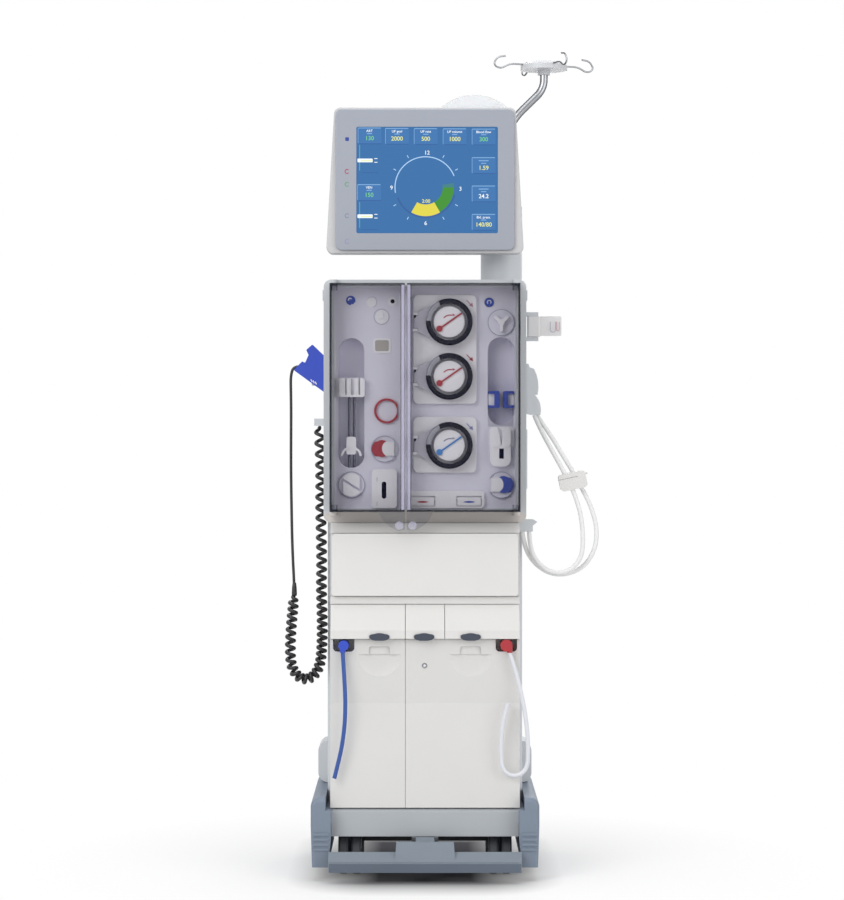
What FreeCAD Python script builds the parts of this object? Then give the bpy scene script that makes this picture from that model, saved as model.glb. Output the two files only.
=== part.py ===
"""A haemodialysis machine on castors, in millimetres.

The origin is on the floor under the middle of the machine, +Z is up and the front faces -Y.
"""
import FreeCAD, Part
import math
import os

V = FreeCAD.Vector
X_AXIS = V(1, 0, 0)
Y_AXIS = V(0, 1, 0)
Z_AXIS = V(0, 0, 1)

# Running gaps and fits
PIN_CLEARANCE = 0.05
RUN_CLEARANCE = 0.4
PANEL_GAP = 1.2

# Heights of the main sections
SKIRT_BOTTOM = 92.0
SKIRT_TOP = 152.0
MODULE_BOTTOM = 772.0
MODULE_TOP = 1294.0
SHELL_TOP = MODULE_BOTTOM
RIM_BOTTOM = MODULE_BOTTOM - 6.0
FLAP_TOP = RIM_BOTTOM - 22.0
FLAP_BOTTOM = FLAP_TOP - 136.0
HOOD_TOP = FLAP_BOTTOM - 17.0
HOOD_BOTTOM = HOOD_TOP - 73.0
LOWER_PANEL_TOP = HOOD_BOTTOM - 1.0
PANEL_KNEE = LOWER_PANEL_TOP - 139.0

# Lower cabinet
CABINET_HALF_WIDTH = 204.2
SIDE_STRIP = 9.1
SHELL_HALF_WIDTH = CABINET_HALF_WIDTH + SIDE_STRIP
SHELL_FRONT = -85.0
SHELL_REAR = 165.0
SHELL_CORNER = 10.0
BULGE_WIDTH = 24.7
BULGE_TOP = 272.0
BULGE_ROUND = 22.0
BULGE_DEPTH = 100.0
CARCASS_FRONT = -168.0
PANEL_FACE = CARCASS_FRONT - 28.0
PANEL_SEAT = CARCASS_FRONT - 14.0
KNEE_FACE = CARCASS_FRONT - 12.0
FOOT_FACE = CARCASS_FRONT - 24.0
BAY_SPLIT = 41.8
BAY_DEPTH = 70.0
BAY_WALL = 6.0
FILTER_WALL = 16.2
FILTER_DEPTH = 40.0
FLAP_FOOT = CARCASS_FRONT - 22.0
HOOD_FRONT = CARCASS_FRONT - 42.0
HOOD_CHEEK = 3.0
EDGE_ROUND = 3.0
GRIP_INSET = 55.0
GRIP_LENGTH = 44.0
GRIP_HEIGHT = 16.0
GRIP_RISE = 5.3
BOWL_RADIUS = 140.0
BOWL_TOP = LOWER_PANEL_TOP - 32.5
BOWL_DEPTH = 9.3
SLOT_HALF_WIDTH = 23.0
LOCK_X = -1.0
LOCK_Z = LOWER_PANEL_TOP - 57.0
LOCK_RADIUS = 5.6
LOCK_BORE = 3.2

# Disinfection wands and their notches
NOTCH_CENTRE = CABINET_HALF_WIDTH - 29.2
NOTCH_WIDTH = 46.0
NOTCH_HEIGHT = 28.0
NOTCH_CORNER = 9.0
WAND_Z = HOOD_BOTTOM - 13.5
WAND_FRONT = CARCASS_FRONT - 43.0
WAND_TIP_RADIUS = 7.0
BLUE_WAND_RADIUS = 11.0
RED_WAND_RADIUS = 13.0
SPIGOT_Y = -204.0
SPIGOT_LOW = 489.0
BLUE_SPIGOT_OUT = 2.0
RED_SPIGOT_OUT = 7.0
SPIGOT_RADIUS = 6.0
BLUE_TUBE_RADIUS = 4.5
WHITE_TUBE_RADIUS = 4.7

# Wheels and base
SKIRT_HALF_WIDTH = CABINET_HALF_WIDTH - 2.2
SKIRT_FRONT = -190.0
SKIRT_REAR = 180.0
SKIRT_WALL = 5.0
WHEEL_RADIUS = 50.0
WHEEL_WIDTH = 21.0
WHEEL_GAP = 8.0
TREAD_BEVEL = 4.0
AXLE_RADIUS = 5.0
CASTOR_X = SKIRT_HALF_WIDTH - 39.0
CASTOR_Y = -130.0
CASTOR_TRAIL = 17.0
STEM_RADIUS = 8.0
CROWN_RADIUS = 20.0
CROWN_HEIGHT = 13.6
CROWN_LIFT = 3.0
REAR_WHEEL_Y = 144.0
CHEEK_PLATE = 4.0
PAN_BOTTOM = 2 * WHEEL_RADIUS + CROWN_LIFT + CROWN_HEIGHT + RUN_CLEARANCE
PAN_THICKNESS = 10.0
BEAM_HALF_WIDTH = CASTOR_X - 21.0
BEAM_DEPTH = 40.0
BEAM_BOTTOM = 60.0
FENDER_WIDTH = 43.5
FENDER_FRONT = -222.0
FENDER_REAR = 205.0
FENDER_BOTTOM = 30.0
FENDER_TOP = SKIRT_TOP + 27.0
FENDER_WALL = 5.0
FENDER_CROWN = 20.0
FENDER_TAPER = 3.3
FENDER_TUCK = 6.0
RIB_COUNT = 4
RIB_PITCH = 10.8
RIB_LOW = 66.0
RIB_HEIGHT = 5.4
RIB_LIFT = 2.5
PEDAL_HALF_WIDTH = SKIRT_HALF_WIDTH + 4.6
PEDAL_FRONT = -262.0
PEDAL_BACK = -232.0
PEDAL_BOTTOM = 25.0
PEDAL_LIP = 44.0
PEDAL_TOP = 65.0
PEDAL_TAB_TOP = 87.0
PEDAL_TAB_HALF_WIDTH = 64.5
PEDAL_AXIS_Y = -205.0
PEDAL_AXIS_Z = 84.0
PEDAL_ARM_HALF_WIDTH = 20.0
PEDAL_EAR = 8.0

# Blood module
RIM_HALF_WIDTH = 220.4
RIM_FRONT = -135.0
RIM_BACK = RIM_FRONT + 30.0
RIM_CORNER = 16.0
MODULE_HALF_WIDTH = RIM_HALF_WIDTH - 15.4
MODULE_REAR = 170.0
POCKET_HALF_WIDTH = MODULE_HALF_WIDTH - 8.0
POCKET_BOTTOM = MODULE_BOTTOM + 25.0
POCKET_TOP = MODULE_TOP - 16.0
POCKET_BACK = -60.0
PANEL_FRONT = RIM_FRONT + 7.0
PANEL_SPLIT = -58.6
DOOR_HALF_WIDTH = MODULE_HALF_WIDTH + 1.0
DOOR_SPLIT = -41.2
DOOR_GAP = 4.2
DOOR_BACK = RIM_FRONT - 4.0
DOOR_FRONT = DOOR_BACK - 61.0
DOOR_BOTTOM = MODULE_BOTTOM + 19.0
DOOR_TOP = MODULE_TOP - 10.0
DOOR_WALL = 4.0
DOOR_CORNER = 10.0
HINGE_INSET = 8.0
HINGE_DEPTH = 9.5
HINGE_PIN_RADIUS = 3.0
HINGE_LUG = 9.0
HINGE_BOSS = 14.0
EAR_DROP = 40.0
SIDE_REACH = POCKET_HALF_WIDTH - 11.0
BACK_LEVEL = RIM_FRONT - 0.2

# Pumps
PUMP_X = 52.6
PUMP_HEIGHTS = (("top", 1201.5), ("middle", 1083.5), ("bottom", 934.0))
RAISED_FRONT = PANEL_FRONT - 12.0
RING_FRONT = RAISED_FRONT - 26.0
RING_OUTER = 50.7
RING_BORE = 39.9
ROTOR_FRONT = RAISED_FRONT - 16.0
ROTOR_RADIUS = 34.5
ROTOR_SHAFT = 6.0
ARROW_TURN = 35.0
COVER_HINGE_X = PUMP_X - 73.6
COVER_HINGE_Y = RAISED_FRONT - 9.0
COVER_PIN_RADIUS = 2.0
KNUCKLE_RADIUS = 4.5
KNUCKLE_HALF_HEIGHT = 14.6
BRACKET_HEIGHT = 5.0

# Controls on the two module panels
SYRINGE_X = 37.0 - POCKET_HALF_WIDTH
SYRINGE_LOW = 884.6
SYRINGE_HIGH = 1167.0
SYRINGE_HALF_WIDTH = 28.0
GUIDE_RADIUS = 2.5
GUIDE_SPREAD = 5.5
GUIDE_Y = PANEL_FRONT + 16.0
CROSSHEAD_LOW = 1038.8
CROSSHEAD_HIGH = 1080.0
CONTROL_FRONT = PANEL_FRONT - 22.0
CLAMP_RADIUS = 29.0
RIGHT_COLUMN_X = POCKET_HALF_WIDTH - 31.5
CLAMPS = (("arterial", -88.5, 925.9, -1), ("venous", RIGHT_COLUMN_X, 847.7, 1))
CLAMP_SEAT = 7.0
KNOB_RADIUS = 29.0
KNOB_SHAFT = 5.0
KNOB_FRONT = PANEL_FRONT - 18.0
PRESSURE_KNOB = (SYRINGE_X + 0.4, 847.7)
PORT_KNOB = (RIGHT_COLUMN_X, 1201.0)
BUTTON = (RIGHT_COLUMN_X - 25.9, 1245.0)
BUTTON_RADIUS = 10.0
BUTTON_FRONT = PANEL_FRONT - 4.0
CATCHER_X1 = POCKET_HALF_WIDTH - 2.4
CATCHER_X0 = CATCHER_X1 - 58.0
CATCHER_LOW = 978.0
CATCHER_HIGH = 1169.0
CATCHER_DEPTH = 40.0
DETECTOR_LOW = 888.0
DETECTOR_HIGH = CATCHER_LOW - 4.0
CLIP_LOW = 1015.0
CLIP_HIGH = 1052.0
PORTS = (("red", -5.3), ("blue", 95.8))
PORT_FRONT = PANEL_FRONT - 10.0
PORT_TOP = POCKET_BOTTOM + 38.0
PORT_AXIS_Z = POCKET_BOTTOM + 21.0
PORT_AXIS_Y = PANEL_FRONT - 7.0
PORT_PIN_RADIUS = 1.5
PORT_HALF_WIDTH = 25.5

# Hardware on the module's sides
SENSOR_BACK = -90.0
SENSOR_DEPTH = 14.0
HOLDER_LOW = 1064.0
HOLDER_HIGH = 1128.0
ARM_AXIS_X = RIM_HALF_WIDTH + 18.0
ARM_AXIS_Y = -80.0
ARM_LOW = 1171.0
ARM_HIGH = 1216.0
ARM_LUG = 9.0
ARM_PIN_RADIUS = 5.0
ARM_PLATE_END = 299.0
ARM_BLOCK_HALF = 14.0
CLIP_CENTRE_X = 275.0
CLIP_CENTRE_Y = -60.0
CLIP_OUTER = 24.0
CLIP_INNER = 20.0

# Monitor
MONITOR_BOTTOM = MODULE_TOP + 56.0
MONITOR_TOP = MONITOR_BOTTOM + 318.0
MONITOR_HALF_WIDTH = 197.0
MONITOR_FLARE = 18.0
MONITOR_FRONT = -150.0
BEZEL_DEPTH = 8.0
MONITOR_BACK = -95.0
BEZEL_MARGIN = 3.0
SCREEN_WIDTH = 307.0
SCREEN_HEIGHT = 231.0
SCREEN_X = 4.6
SCREEN_Z = MONITOR_BOTTOM + 159.4
SCREEN_SINK = 2.5
POST_X = 170.0
POST_RADIUS = 46.0
POST_TOP = MODULE_TOP + 106.0
STUB_RADIUS = 15.0
STUB_HEIGHT = 30.0
YOKE_HEIGHT = 62.0
TILT_Y = -48.0
TILT_Z = POST_TOP + 50.0
TILT_PIN = 7.0
TONGUE_HALF_WIDTH = 20.0
LUG_INNER = POST_X - 40.0
LUG_OUTER = POST_X + 40.0
LAMP_X = 107.0
LAMP_RADIUS = 110.0
LAMP_DROP = 80.0
LAMP_FRONT = MONITOR_FRONT + 32.0
LAMP_DEPTH = 16.0

# Infusion pole
POLE_RADIUS = 9.0
POLE_X = 179.0
POLE_Y = 58.0
POLE_UPPER_X = 267.0
POLE_TOP = 1776.0
POLE_BEND_HIGH = POLE_TOP - 45.0
POLE_BEND_LOW = POLE_BEND_HIGH - 86.0
POLE_BOTTOM = MODULE_TOP - 294.0
SLEEVE_WALL = 5.0
SLEEVE_HEIGHT = 90.0
CAP_RADIUS = 52.5
HOOK_WIRE = 4.0
HOOK_TURN = 22.0

# Rear
HANDLE_Z = MODULE_TOP - 32.0
HANDLE_HALF_HEIGHT = 11.0
HANDLE_THICKNESS = 18.0
HANDLE_STANDOFF = 19.0
COVER_HALF_WIDTH = SHELL_HALF_WIDTH - 23.3
COVER_LOW = 180.0
COVER_HIGH = SHELL_TOP - 27.0
COVER_THICKNESS = 8.0
NIPPLE_RADIUS = 8.0
NIPPLE_REACH = 38.0
NIPPLE_Z = 230.0
NIPPLE_PLACES = (-120.0, -70.0)
INLET_X = 115.0

# Cords, as points along their middle
HOSE_RADIUS = 5.0
HOSE_CLIP = (323.0, 856.0)
LEAD_RADIUS = 3.1
COIL_RADIUS = 12.7
BLUE_TUBE = ((-177, -204, 489), (-174, -205, 445), (-171, -206, 388), (-172, -206, 338), (-178, -206, 290),
             (-187, -206, 250), (-195, -206, 219))
WHITE_TUBE = ((182, -204, 489), (190, -205, 464), (201, -206, 425), (211, -206, 382), (218, -206, 338),
              (221, -206, 300), (221.5, -206, 268), (219, -206, 241), (203, -206, 225), (181, -206, 225),
              (165, -206, 241), (163, -206, 270), (163.5, -206, 304), (168, -206, 344), (178, -206, 381))
HOSE_INNER = ((239, -97, 1000), (252, -99, 970), (270, -102, 936), (289, -104, 902), (308, -105, 867),
              (325, -105, 832), (339, -105, 790), (346, -105, 740), (343, -105, 686), (312, -105, 656),
              (270, -105, 656), (239, -104, 686), (229, -99, 716), (228, -95, 745))
HOSE_OUTER = ((245, -86, 1000), (262, -86, 975), (284, -87, 942), (304, -88, 908), (325, -88, 874),
              (343, -88, 841), (364, -88, 800), (377, -88, 753), (374, -88, 707), (350, -88, 668),
              (312, -88, 650), (272, -88, 652), (238, -88, 676), (218, -92, 710), (213, -93, 745))
SENSOR_LEAD = ((-286, -91.5, 606.5), (-286.8, -91.5, 640), (-289, -91.5, 680), (-291, -91.5, 735),
               (-292, -91.5, 790), (-293, -91.5, 850), (-293.4, -91.5, 905), (-293.2, -91.5, 960),
               (-293, -91.5, 1010), (-293.5, -92, 1050), (-294, -94, 1086), (-287, -97, 1107),
               (-270, -97, 1106))
SENSOR_COIL = ((-232, -91.5, 975), (-229, -91.5, 918), (-228, -91.5, 858), (-228.5, -91.5, 798),
               (-227, -91.5, 738), (-226, -91.5, 678), (-227, -91.5, 618), (-225, -91.5, 558),
               (-225, -91.5, 500), (-229, -91.5, 450), (-248, -91.5, 422), (-275, -91.5, 422),
               (-294, -91.5, 450), (-295, -91.5, 498), (-292, -91.5, 550), (-286, -91.5, 606))


def box(x0, x1, y0, y1, z0, z1):
    """A block between two corners."""
    return Part.makeBox(x1 - x0, y1 - y0, z1 - z0, V(x0, y0, z0))


def rod(radius, start, end):
    """A round bar from one point to another."""
    start = V(*start)
    run = V(*end) - start
    return Part.makeCylinder(radius, run.Length, start, run)


def soften(shape, radius, direction, keep=None):
    """Round the straight edges that run along a direction, all or those that keep accepts."""
    chosen = []
    for edge in shape.Edges:
        if len(edge.Vertexes) != 2:
            continue
        run = edge.Vertexes[1].Point - edge.Vertexes[0].Point
        straight = abs(run.Length - edge.Length) < 1e-6
        along = run.cross(direction).Length < 1e-6 * max(run.Length, 1)
        if straight and along and (keep is None or keep(edge.CenterOfMass)):
            chosen.append(edge)
    return shape.makeFillet(radius, chosen) if chosen else shape


def ease_front(shape, radius, y):
    """Round every edge that lies in the front plane at a given Y."""
    chosen = [edge for edge in shape.Edges
              if all(abs(point.y - y) < 1e-6 for point in edge.discretize(4))]
    return shape.makeFillet(radius, chosen)


def slab(x0, x1, z0, z1, y0, y1, radius=0.0):
    """A plate facing -Y with rounded corners."""
    plate = box(x0, x1, y0, y1, z0, z1)
    return soften(plate, radius, Y_AXIS) if radius else plate


def side_form(points, x0, x1):
    """A side outline given as (Y, Z) points, pulled from x0 to x1."""
    wire = Part.makePolygon([V(x0, y, z) for y, z in points + points[:1]])
    return Part.Face(wire).extrude(V(x1 - x0, 0, 0))


def front_form(points, y0, y1):
    """A front outline given as (X, Z) points, pulled from y0 to y1."""
    wire = Part.makePolygon([V(x, y0, z) for x, z in points + points[:1]])
    return Part.Face(wire).extrude(V(0, y1 - y0, 0))


def curved_form(start, moves, y0, y1):
    """A front outline of lines, given by their end, and arcs, given by a middle point and their end."""
    edges = []
    here = V(start[0], y0, start[1])
    for move in list(moves) + [start]:
        if isinstance(move[0], tuple):
            middle, end = [V(x, y0, z) for x, z in move]
            edges.append(Part.Arc(here, middle, end).toShape())
        else:
            end = V(move[0], y0, move[1])
            edges.append(Part.makeLine(here, end))
        here = end
    return Part.Face(Part.Wire(edges)).extrude(V(0, y1 - y0, 0))


def lens(x, z, width, height, y0, y1):
    """A lens-shaped pad between two arcs."""
    radius = ((width / 2) ** 2 + (height / 2) ** 2) / height
    offset = radius - height / 2
    upper = rod(radius, (x, y0, z - offset), (x, y1, z - offset))
    return upper.common(rod(radius, (x, y0, z + offset), (x, y1, z + offset)))


def turned(points, centre, axis):
    """A shape of revolution from (radius, height) points about an axis through a centre."""
    wire = Part.makePolygon([V(r, 0, h) for r, h in points + points[:1]])
    solid = Part.Face(wire).revolve(V(0, 0, 0), Z_AXIS, 360)
    solid.Placement = FreeCAD.Placement(V(*centre), FreeCAD.Rotation(Z_AXIS, axis))
    return solid


def joined(first, *others):
    """One solid made of several that meet."""
    for other in others:
        first = first.fuse(other)
    return first.removeSplitter()


def tube(name, points, radius, limp=0.45):
    """A cord's tube: straight runs joined by tangent arcs as large as the runs allow."""
    points = [V(*point) for point in points]
    edges = []
    radii = []
    start = points[0]
    for before, corner, after in zip(points, points[1:], points[2:]):
        back = before - corner
        ahead = after - corner
        turn = math.pi - back.getAngle(ahead)
        reach = limp * min(back.Length, ahead.Length)
        radii.append(reach / math.tan(turn / 2))
        enter = corner + back.normalize() * reach
        leave = corner + ahead.normalize() * reach
        inward = ((enter + leave) * 0.5 - corner).normalize()
        sag = radii[-1] * (1 / math.cos(turn / 2) - 1)
        edges.append(Part.LineSegment(start, enter).toShape())
        edges.append(Part.Arc(enter, corner + inward * sag, leave).toShape())
        start = leave
    edges.append(Part.LineSegment(start, points[-1]).toShape())
    path = Part.Wire(edges)
    circle = Part.makeCircle(radius, points[0], points[1] - points[0])
    solid = path.makePipeShell([Part.Wire([circle])], True, False)
    ideal = math.pi * radius ** 2 * path.Length
    print(name, "length", round(path.Length), "least radius", round(min(radii), 1),
          "volume ratio", round(solid.Volume / ideal, 4))
    return solid


def save(node, *solids):
    """Write one node's STEP file."""
    shape = solids[0] if len(solids) == 1 else Part.makeCompound(list(solids))
    for solid in shape.Solids:
        if not solid.isValid() or solid.Volume <= 0:
            print("INVALID", node)
    shape.exportStep("parts/" + node + ".step")


def chassis():
    """The floor pan with its cross-beam, castor sockets, pedal ears and rear wheel plates."""
    inner = SKIRT_HALF_WIDTH - SKIRT_WALL
    pan_top = PAN_BOTTOM + PAN_THICKNESS
    pan = box(-inner, inner, SKIRT_FRONT + SKIRT_WALL, SKIRT_REAR - SKIRT_WALL, PAN_BOTTOM, pan_top)
    parts = [box(-BEAM_HALF_WIDTH, BEAM_HALF_WIDTH, -BEAM_DEPTH, 0, BEAM_BOTTOM, PAN_BOTTOM)]
    ear_low = PEDAL_AXIS_Z - 9
    ear_arm_low = SKIRT_BOTTOM - 14
    ear_back = PEDAL_AXIS_Y + 60
    for side in (-1, 1):
        ear = PEDAL_ARM_HALF_WIDTH + RUN_CLEARANCE
        x0, x1 = sorted((side * ear, side * (ear + PEDAL_EAR)))
        parts.append(box(x0, x1, PEDAL_AXIS_Y - 9, PEDAL_AXIS_Y + 12, ear_low, SKIRT_BOTTOM))
        parts.append(box(x0, x1, PEDAL_AXIS_Y + 3, ear_back, ear_arm_low, SKIRT_BOTTOM))
        parts.append(box(x0, x1, ear_back - 30, ear_back, ear_arm_low, PAN_BOTTOM))
        for cheek in (-1, 1):
            inside = side * CASTOR_X + cheek * (WHEEL_WIDTH + WHEEL_GAP / 2 + RUN_CLEARANCE)
            c0, c1 = sorted((inside, inside + cheek * CHEEK_PLATE))
            plate = box(c0, c1, REAR_WHEEL_Y - 16, REAR_WHEEL_Y + 16, WHEEL_RADIUS - 12, PAN_BOTTOM)
            parts.append(soften(plate, 11, X_AXIS, lambda p: p.z < WHEEL_RADIUS))
    frame = joined(pan, *parts)
    axle_bore = AXLE_RADIUS + PIN_CLEARANCE
    for side in (-1, 1):
        x = side * CASTOR_X
        frame = frame.cut(rod(STEM_RADIUS + PIN_CLEARANCE, (x, CASTOR_Y, PAN_BOTTOM - 1),
                              (x, CASTOR_Y, pan_top + 1)))
        frame = frame.cut(rod(axle_bore, (x - 60, REAR_WHEEL_Y, WHEEL_RADIUS),
                              (x + 60, REAR_WHEEL_Y, WHEEL_RADIUS)))
    frame = frame.cut(rod(axle_bore, (-40, PEDAL_AXIS_Y, PEDAL_AXIS_Z), (40, PEDAL_AXIS_Y, PEDAL_AXIS_Z)))
    save("chassis", frame)


def base_skirt():
    """The light skirt round the pan, arched over the castors."""
    w = SKIRT_HALF_WIDTH
    outer = box(-w, w, SKIRT_FRONT, SKIRT_REAR, SKIRT_BOTTOM, SKIRT_TOP)
    outer = soften(outer, 8, X_AXIS, lambda p: p.z > SKIRT_BOTTOM + 1 and p.y < 0)
    t = SKIRT_WALL
    hollow = box(-w + t, w - t, SKIRT_FRONT + t, SKIRT_REAR - t, SKIRT_BOTTOM - 1, SKIRT_TOP + 1)
    arch_top = 2 * WHEEL_RADIUS + CROWN_LIFT + 1
    arch = box(-w - 1, w + 1, SKIRT_FRONT + t, CASTOR_Y + 80, SKIRT_BOTTOM - 1, arch_top)
    save("base_skirt", outer.cut(hollow).cut(arch))


def side_fenders():
    """The two bumpers beside the castors, tapered to the floor, with ribs across their fronts."""
    fenders = []
    for side in (-1, 1):
        inner = side * SKIRT_HALF_WIDTH
        outer = inner + side * FENDER_WIDTH
        x0, x1 = sorted((inner, outer))
        body = box(x0, x1, FENDER_FRONT, FENDER_REAR, FENDER_BOTTOM, FENDER_TOP)
        body = soften(body, FENDER_CROWN, Y_AXIS,
                      lambda p: p.z > FENDER_TOP - 1 and abs(p.x) > SKIRT_HALF_WIDTH + 1)
        body = soften(body, 10, Z_AXIS, lambda p: abs(p.x) > SKIRT_HALF_WIDTH + 1)
        bay_front = FENDER_FRONT + 12
        h0, h1 = sorted((inner - side, outer - side * FENDER_WALL))
        body = body.cut(box(h0, h1, bay_front, CASTOR_Y + 80, FENDER_BOTTOM - 1, SKIRT_TOP - 30))
        clear = SHELL_HALF_WIDTH + RUN_CLEARANCE
        body = body.cut(box(-clear, clear, FENDER_FRONT - 5, FENDER_REAR + 5, SKIRT_TOP, FENDER_TOP + 1))
        for rib in range(RIB_COUNT):
            low = RIB_LOW + RIB_PITCH * rib
            ridge = slab(x0 + 4, x1 - 4, low, low + RIB_HEIGHT, FENDER_FRONT - RIB_LIFT, FENDER_FRONT + 1, 2.4)
            body = body.fuse(ridge)
        taper = front_form([(outer, SKIRT_BOTTOM + 28), (outer - side * FENDER_TAPER, FENDER_BOTTOM - 1),
                            (outer + side, FENDER_BOTTOM - 1)], FENDER_FRONT - 5, FENDER_REAR + 5)
        tuck = front_form([(inner, SKIRT_BOTTOM - 2), (inner + side * FENDER_TUCK, FENDER_BOTTOM - 1),
                           (inner - side, FENDER_BOTTOM - 1)], FENDER_FRONT - 5, FENDER_REAR + 5)
        fenders.append(body.cut(taper).cut(tuck).removeSplitter())
    save("side_fenders", *fenders)


def brake_pedal():
    """The full-width pedal with its sloping tread, raised centre tab, arm and pivot pin."""
    outline = [(PEDAL_FRONT, PEDAL_BOTTOM), (PEDAL_FRONT, PEDAL_LIP), (PEDAL_FRONT + 3, PEDAL_LIP + 1),
               (PEDAL_FRONT + 3, PEDAL_LIP + 4), (PEDAL_BACK, PEDAL_TOP), (PEDAL_BACK, PEDAL_BOTTOM)]
    bar = soften(side_form(outline, -PEDAL_HALF_WIDTH, PEDAL_HALF_WIDTH), 6, Z_AXIS,
                 lambda p: p.y < PEDAL_FRONT + 1)
    half = PEDAL_TAB_HALF_WIDTH
    tab = side_form([(PEDAL_FRONT + 8, PEDAL_LIP + 4), (PEDAL_BACK - 8, PEDAL_TAB_TOP),
                     (PEDAL_BACK, PEDAL_TAB_TOP), (PEDAL_BACK, PEDAL_LIP + 4)], -half, half)
    tab = tab.common(front_form([(-half, PEDAL_LIP), (half, PEDAL_LIP), (half - 3, PEDAL_TAB_TOP),
                                 (-half + 3, PEDAL_TAB_TOP)], PEDAL_FRONT, PEDAL_BACK))
    a = PEDAL_ARM_HALF_WIDTH
    arm = side_form([(PEDAL_BACK - 1, 50), (PEDAL_BACK - 1, 84), (PEDAL_AXIS_Y, PEDAL_AXIS_Z + 9),
                     (PEDAL_AXIS_Y + 8, PEDAL_AXIS_Z), (PEDAL_AXIS_Y, PEDAL_AXIS_Z - 9)], -a, a)
    reach = a + PEDAL_EAR
    pin = rod(AXLE_RADIUS, (-reach, PEDAL_AXIS_Y, PEDAL_AXIS_Z), (reach, PEDAL_AXIS_Y, PEDAL_AXIS_Z))
    save("brake_pedal", joined(bar, tab, arm, pin))


def wheel_pair(x, y):
    """Two dished tyres either side of a gap."""
    wheels = []
    for cheek in (-1, 1):
        inner = x + cheek * WHEEL_GAP / 2
        outer = inner + cheek * WHEEL_WIDTH
        tyre = rod(WHEEL_RADIUS, (inner, y, WHEEL_RADIUS), (outer, y, WHEEL_RADIUS))
        tyre = tyre.makeChamfer(TREAD_BEVEL, [edge for edge in tyre.Edges if edge.Closed
                                              and edge.Length > 6 * WHEEL_RADIUS])
        dish = rod(WHEEL_RADIUS * 0.62, (outer - cheek * 3, y, WHEEL_RADIUS), (outer + cheek, y, WHEEL_RADIUS))
        wheels.append(tyre.cut(dish))
    return wheels


def castors():
    """Two swivelling forks, their twin wheels and the two fixed rear wheels."""
    half = WHEEL_GAP / 2 + WHEEL_WIDTH
    wheel_y = CASTOR_Y + CASTOR_TRAIL
    web = WHEEL_GAP / 2 - RUN_CLEARANCE
    crown_low = 2 * WHEEL_RADIUS + CROWN_LIFT
    crown_high = crown_low + CROWN_HEIGHT
    for name, side in (("left", -1), ("right", 1)):
        x = side * CASTOR_X
        crown = rod(CROWN_RADIUS, (x, CASTOR_Y, crown_low), (x, CASTOR_Y, crown_high))
        stem = rod(STEM_RADIUS, (x, CASTOR_Y, crown_low), (x, CASTOR_Y, crown_high + PAN_THICKNESS))
        fin = side_form([(wheel_y - 14, WHEEL_RADIUS - 8), (wheel_y + 10, WHEEL_RADIUS - 8),
                         (wheel_y + 10, crown_low - 20), (CASTOR_Y + 12, crown_low + 1),
                         (CASTOR_Y - 12, crown_low + 1)], x - web, x + web)
        axle = rod(AXLE_RADIUS, (x - half, wheel_y, WHEEL_RADIUS), (x + half, wheel_y, WHEEL_RADIUS))
        save("castor_fork_" + name, joined(crown, stem, fin, axle))
        bore = rod(AXLE_RADIUS + PIN_CLEARANCE, (x - 60, wheel_y, WHEEL_RADIUS), (x + 60, wheel_y, WHEEL_RADIUS))
        save("castor_wheels_" + name, *[wheel.cut(bore) for wheel in wheel_pair(x, wheel_y)])
        reach = half + RUN_CLEARANCE + CHEEK_PLATE
        shaft = rod(AXLE_RADIUS, (x - reach, REAR_WHEEL_Y, WHEEL_RADIUS), (x + reach, REAR_WHEEL_Y, WHEEL_RADIUS))
        save("rear_wheels_" + name, joined(shaft, *wheel_pair(x, REAR_WHEEL_Y)))


def filter_bay(depth):
    """The room behind the flap that holds the filters, as a cutter."""
    half = CABINET_HALF_WIDTH - FILTER_WALL
    return box(-half, half, FLAP_FOOT - 10, depth, FLAP_BOTTOM + 14, FLAP_TOP - 6)


def cabinet_shell():
    """The casing of the hydraulic section, with its swelling at the bottom of both sides."""
    w = SHELL_HALF_WIDTH
    shell = box(-w, w, SHELL_FRONT, SHELL_REAR, SKIRT_TOP, SHELL_TOP)
    shell = soften(shell, SHELL_CORNER, Z_AXIS, lambda p: p.y < 0)
    middle = (SHELL_FRONT + SHELL_REAR) / 2 + 40
    bulge = box(-w - BULGE_WIDTH, w + BULGE_WIDTH, middle - BULGE_DEPTH / 2, middle + BULGE_DEPTH / 2,
                FENDER_TOP + 1, BULGE_TOP)
    shell = joined(shell, soften(bulge, BULGE_ROUND, Y_AXIS))
    save("cabinet_shell", shell.cut(filter_bay(SHELL_FRONT + FILTER_DEPTH)))


def bays():
    """The left and right edges of the three hoods."""
    outer = CABINET_HALF_WIDTH - 1
    inner = BAY_SPLIT
    return (("left", -outer, -inner - PANEL_GAP), ("centre", -inner, inner), ("right", inner + PANEL_GAP, outer))


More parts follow.
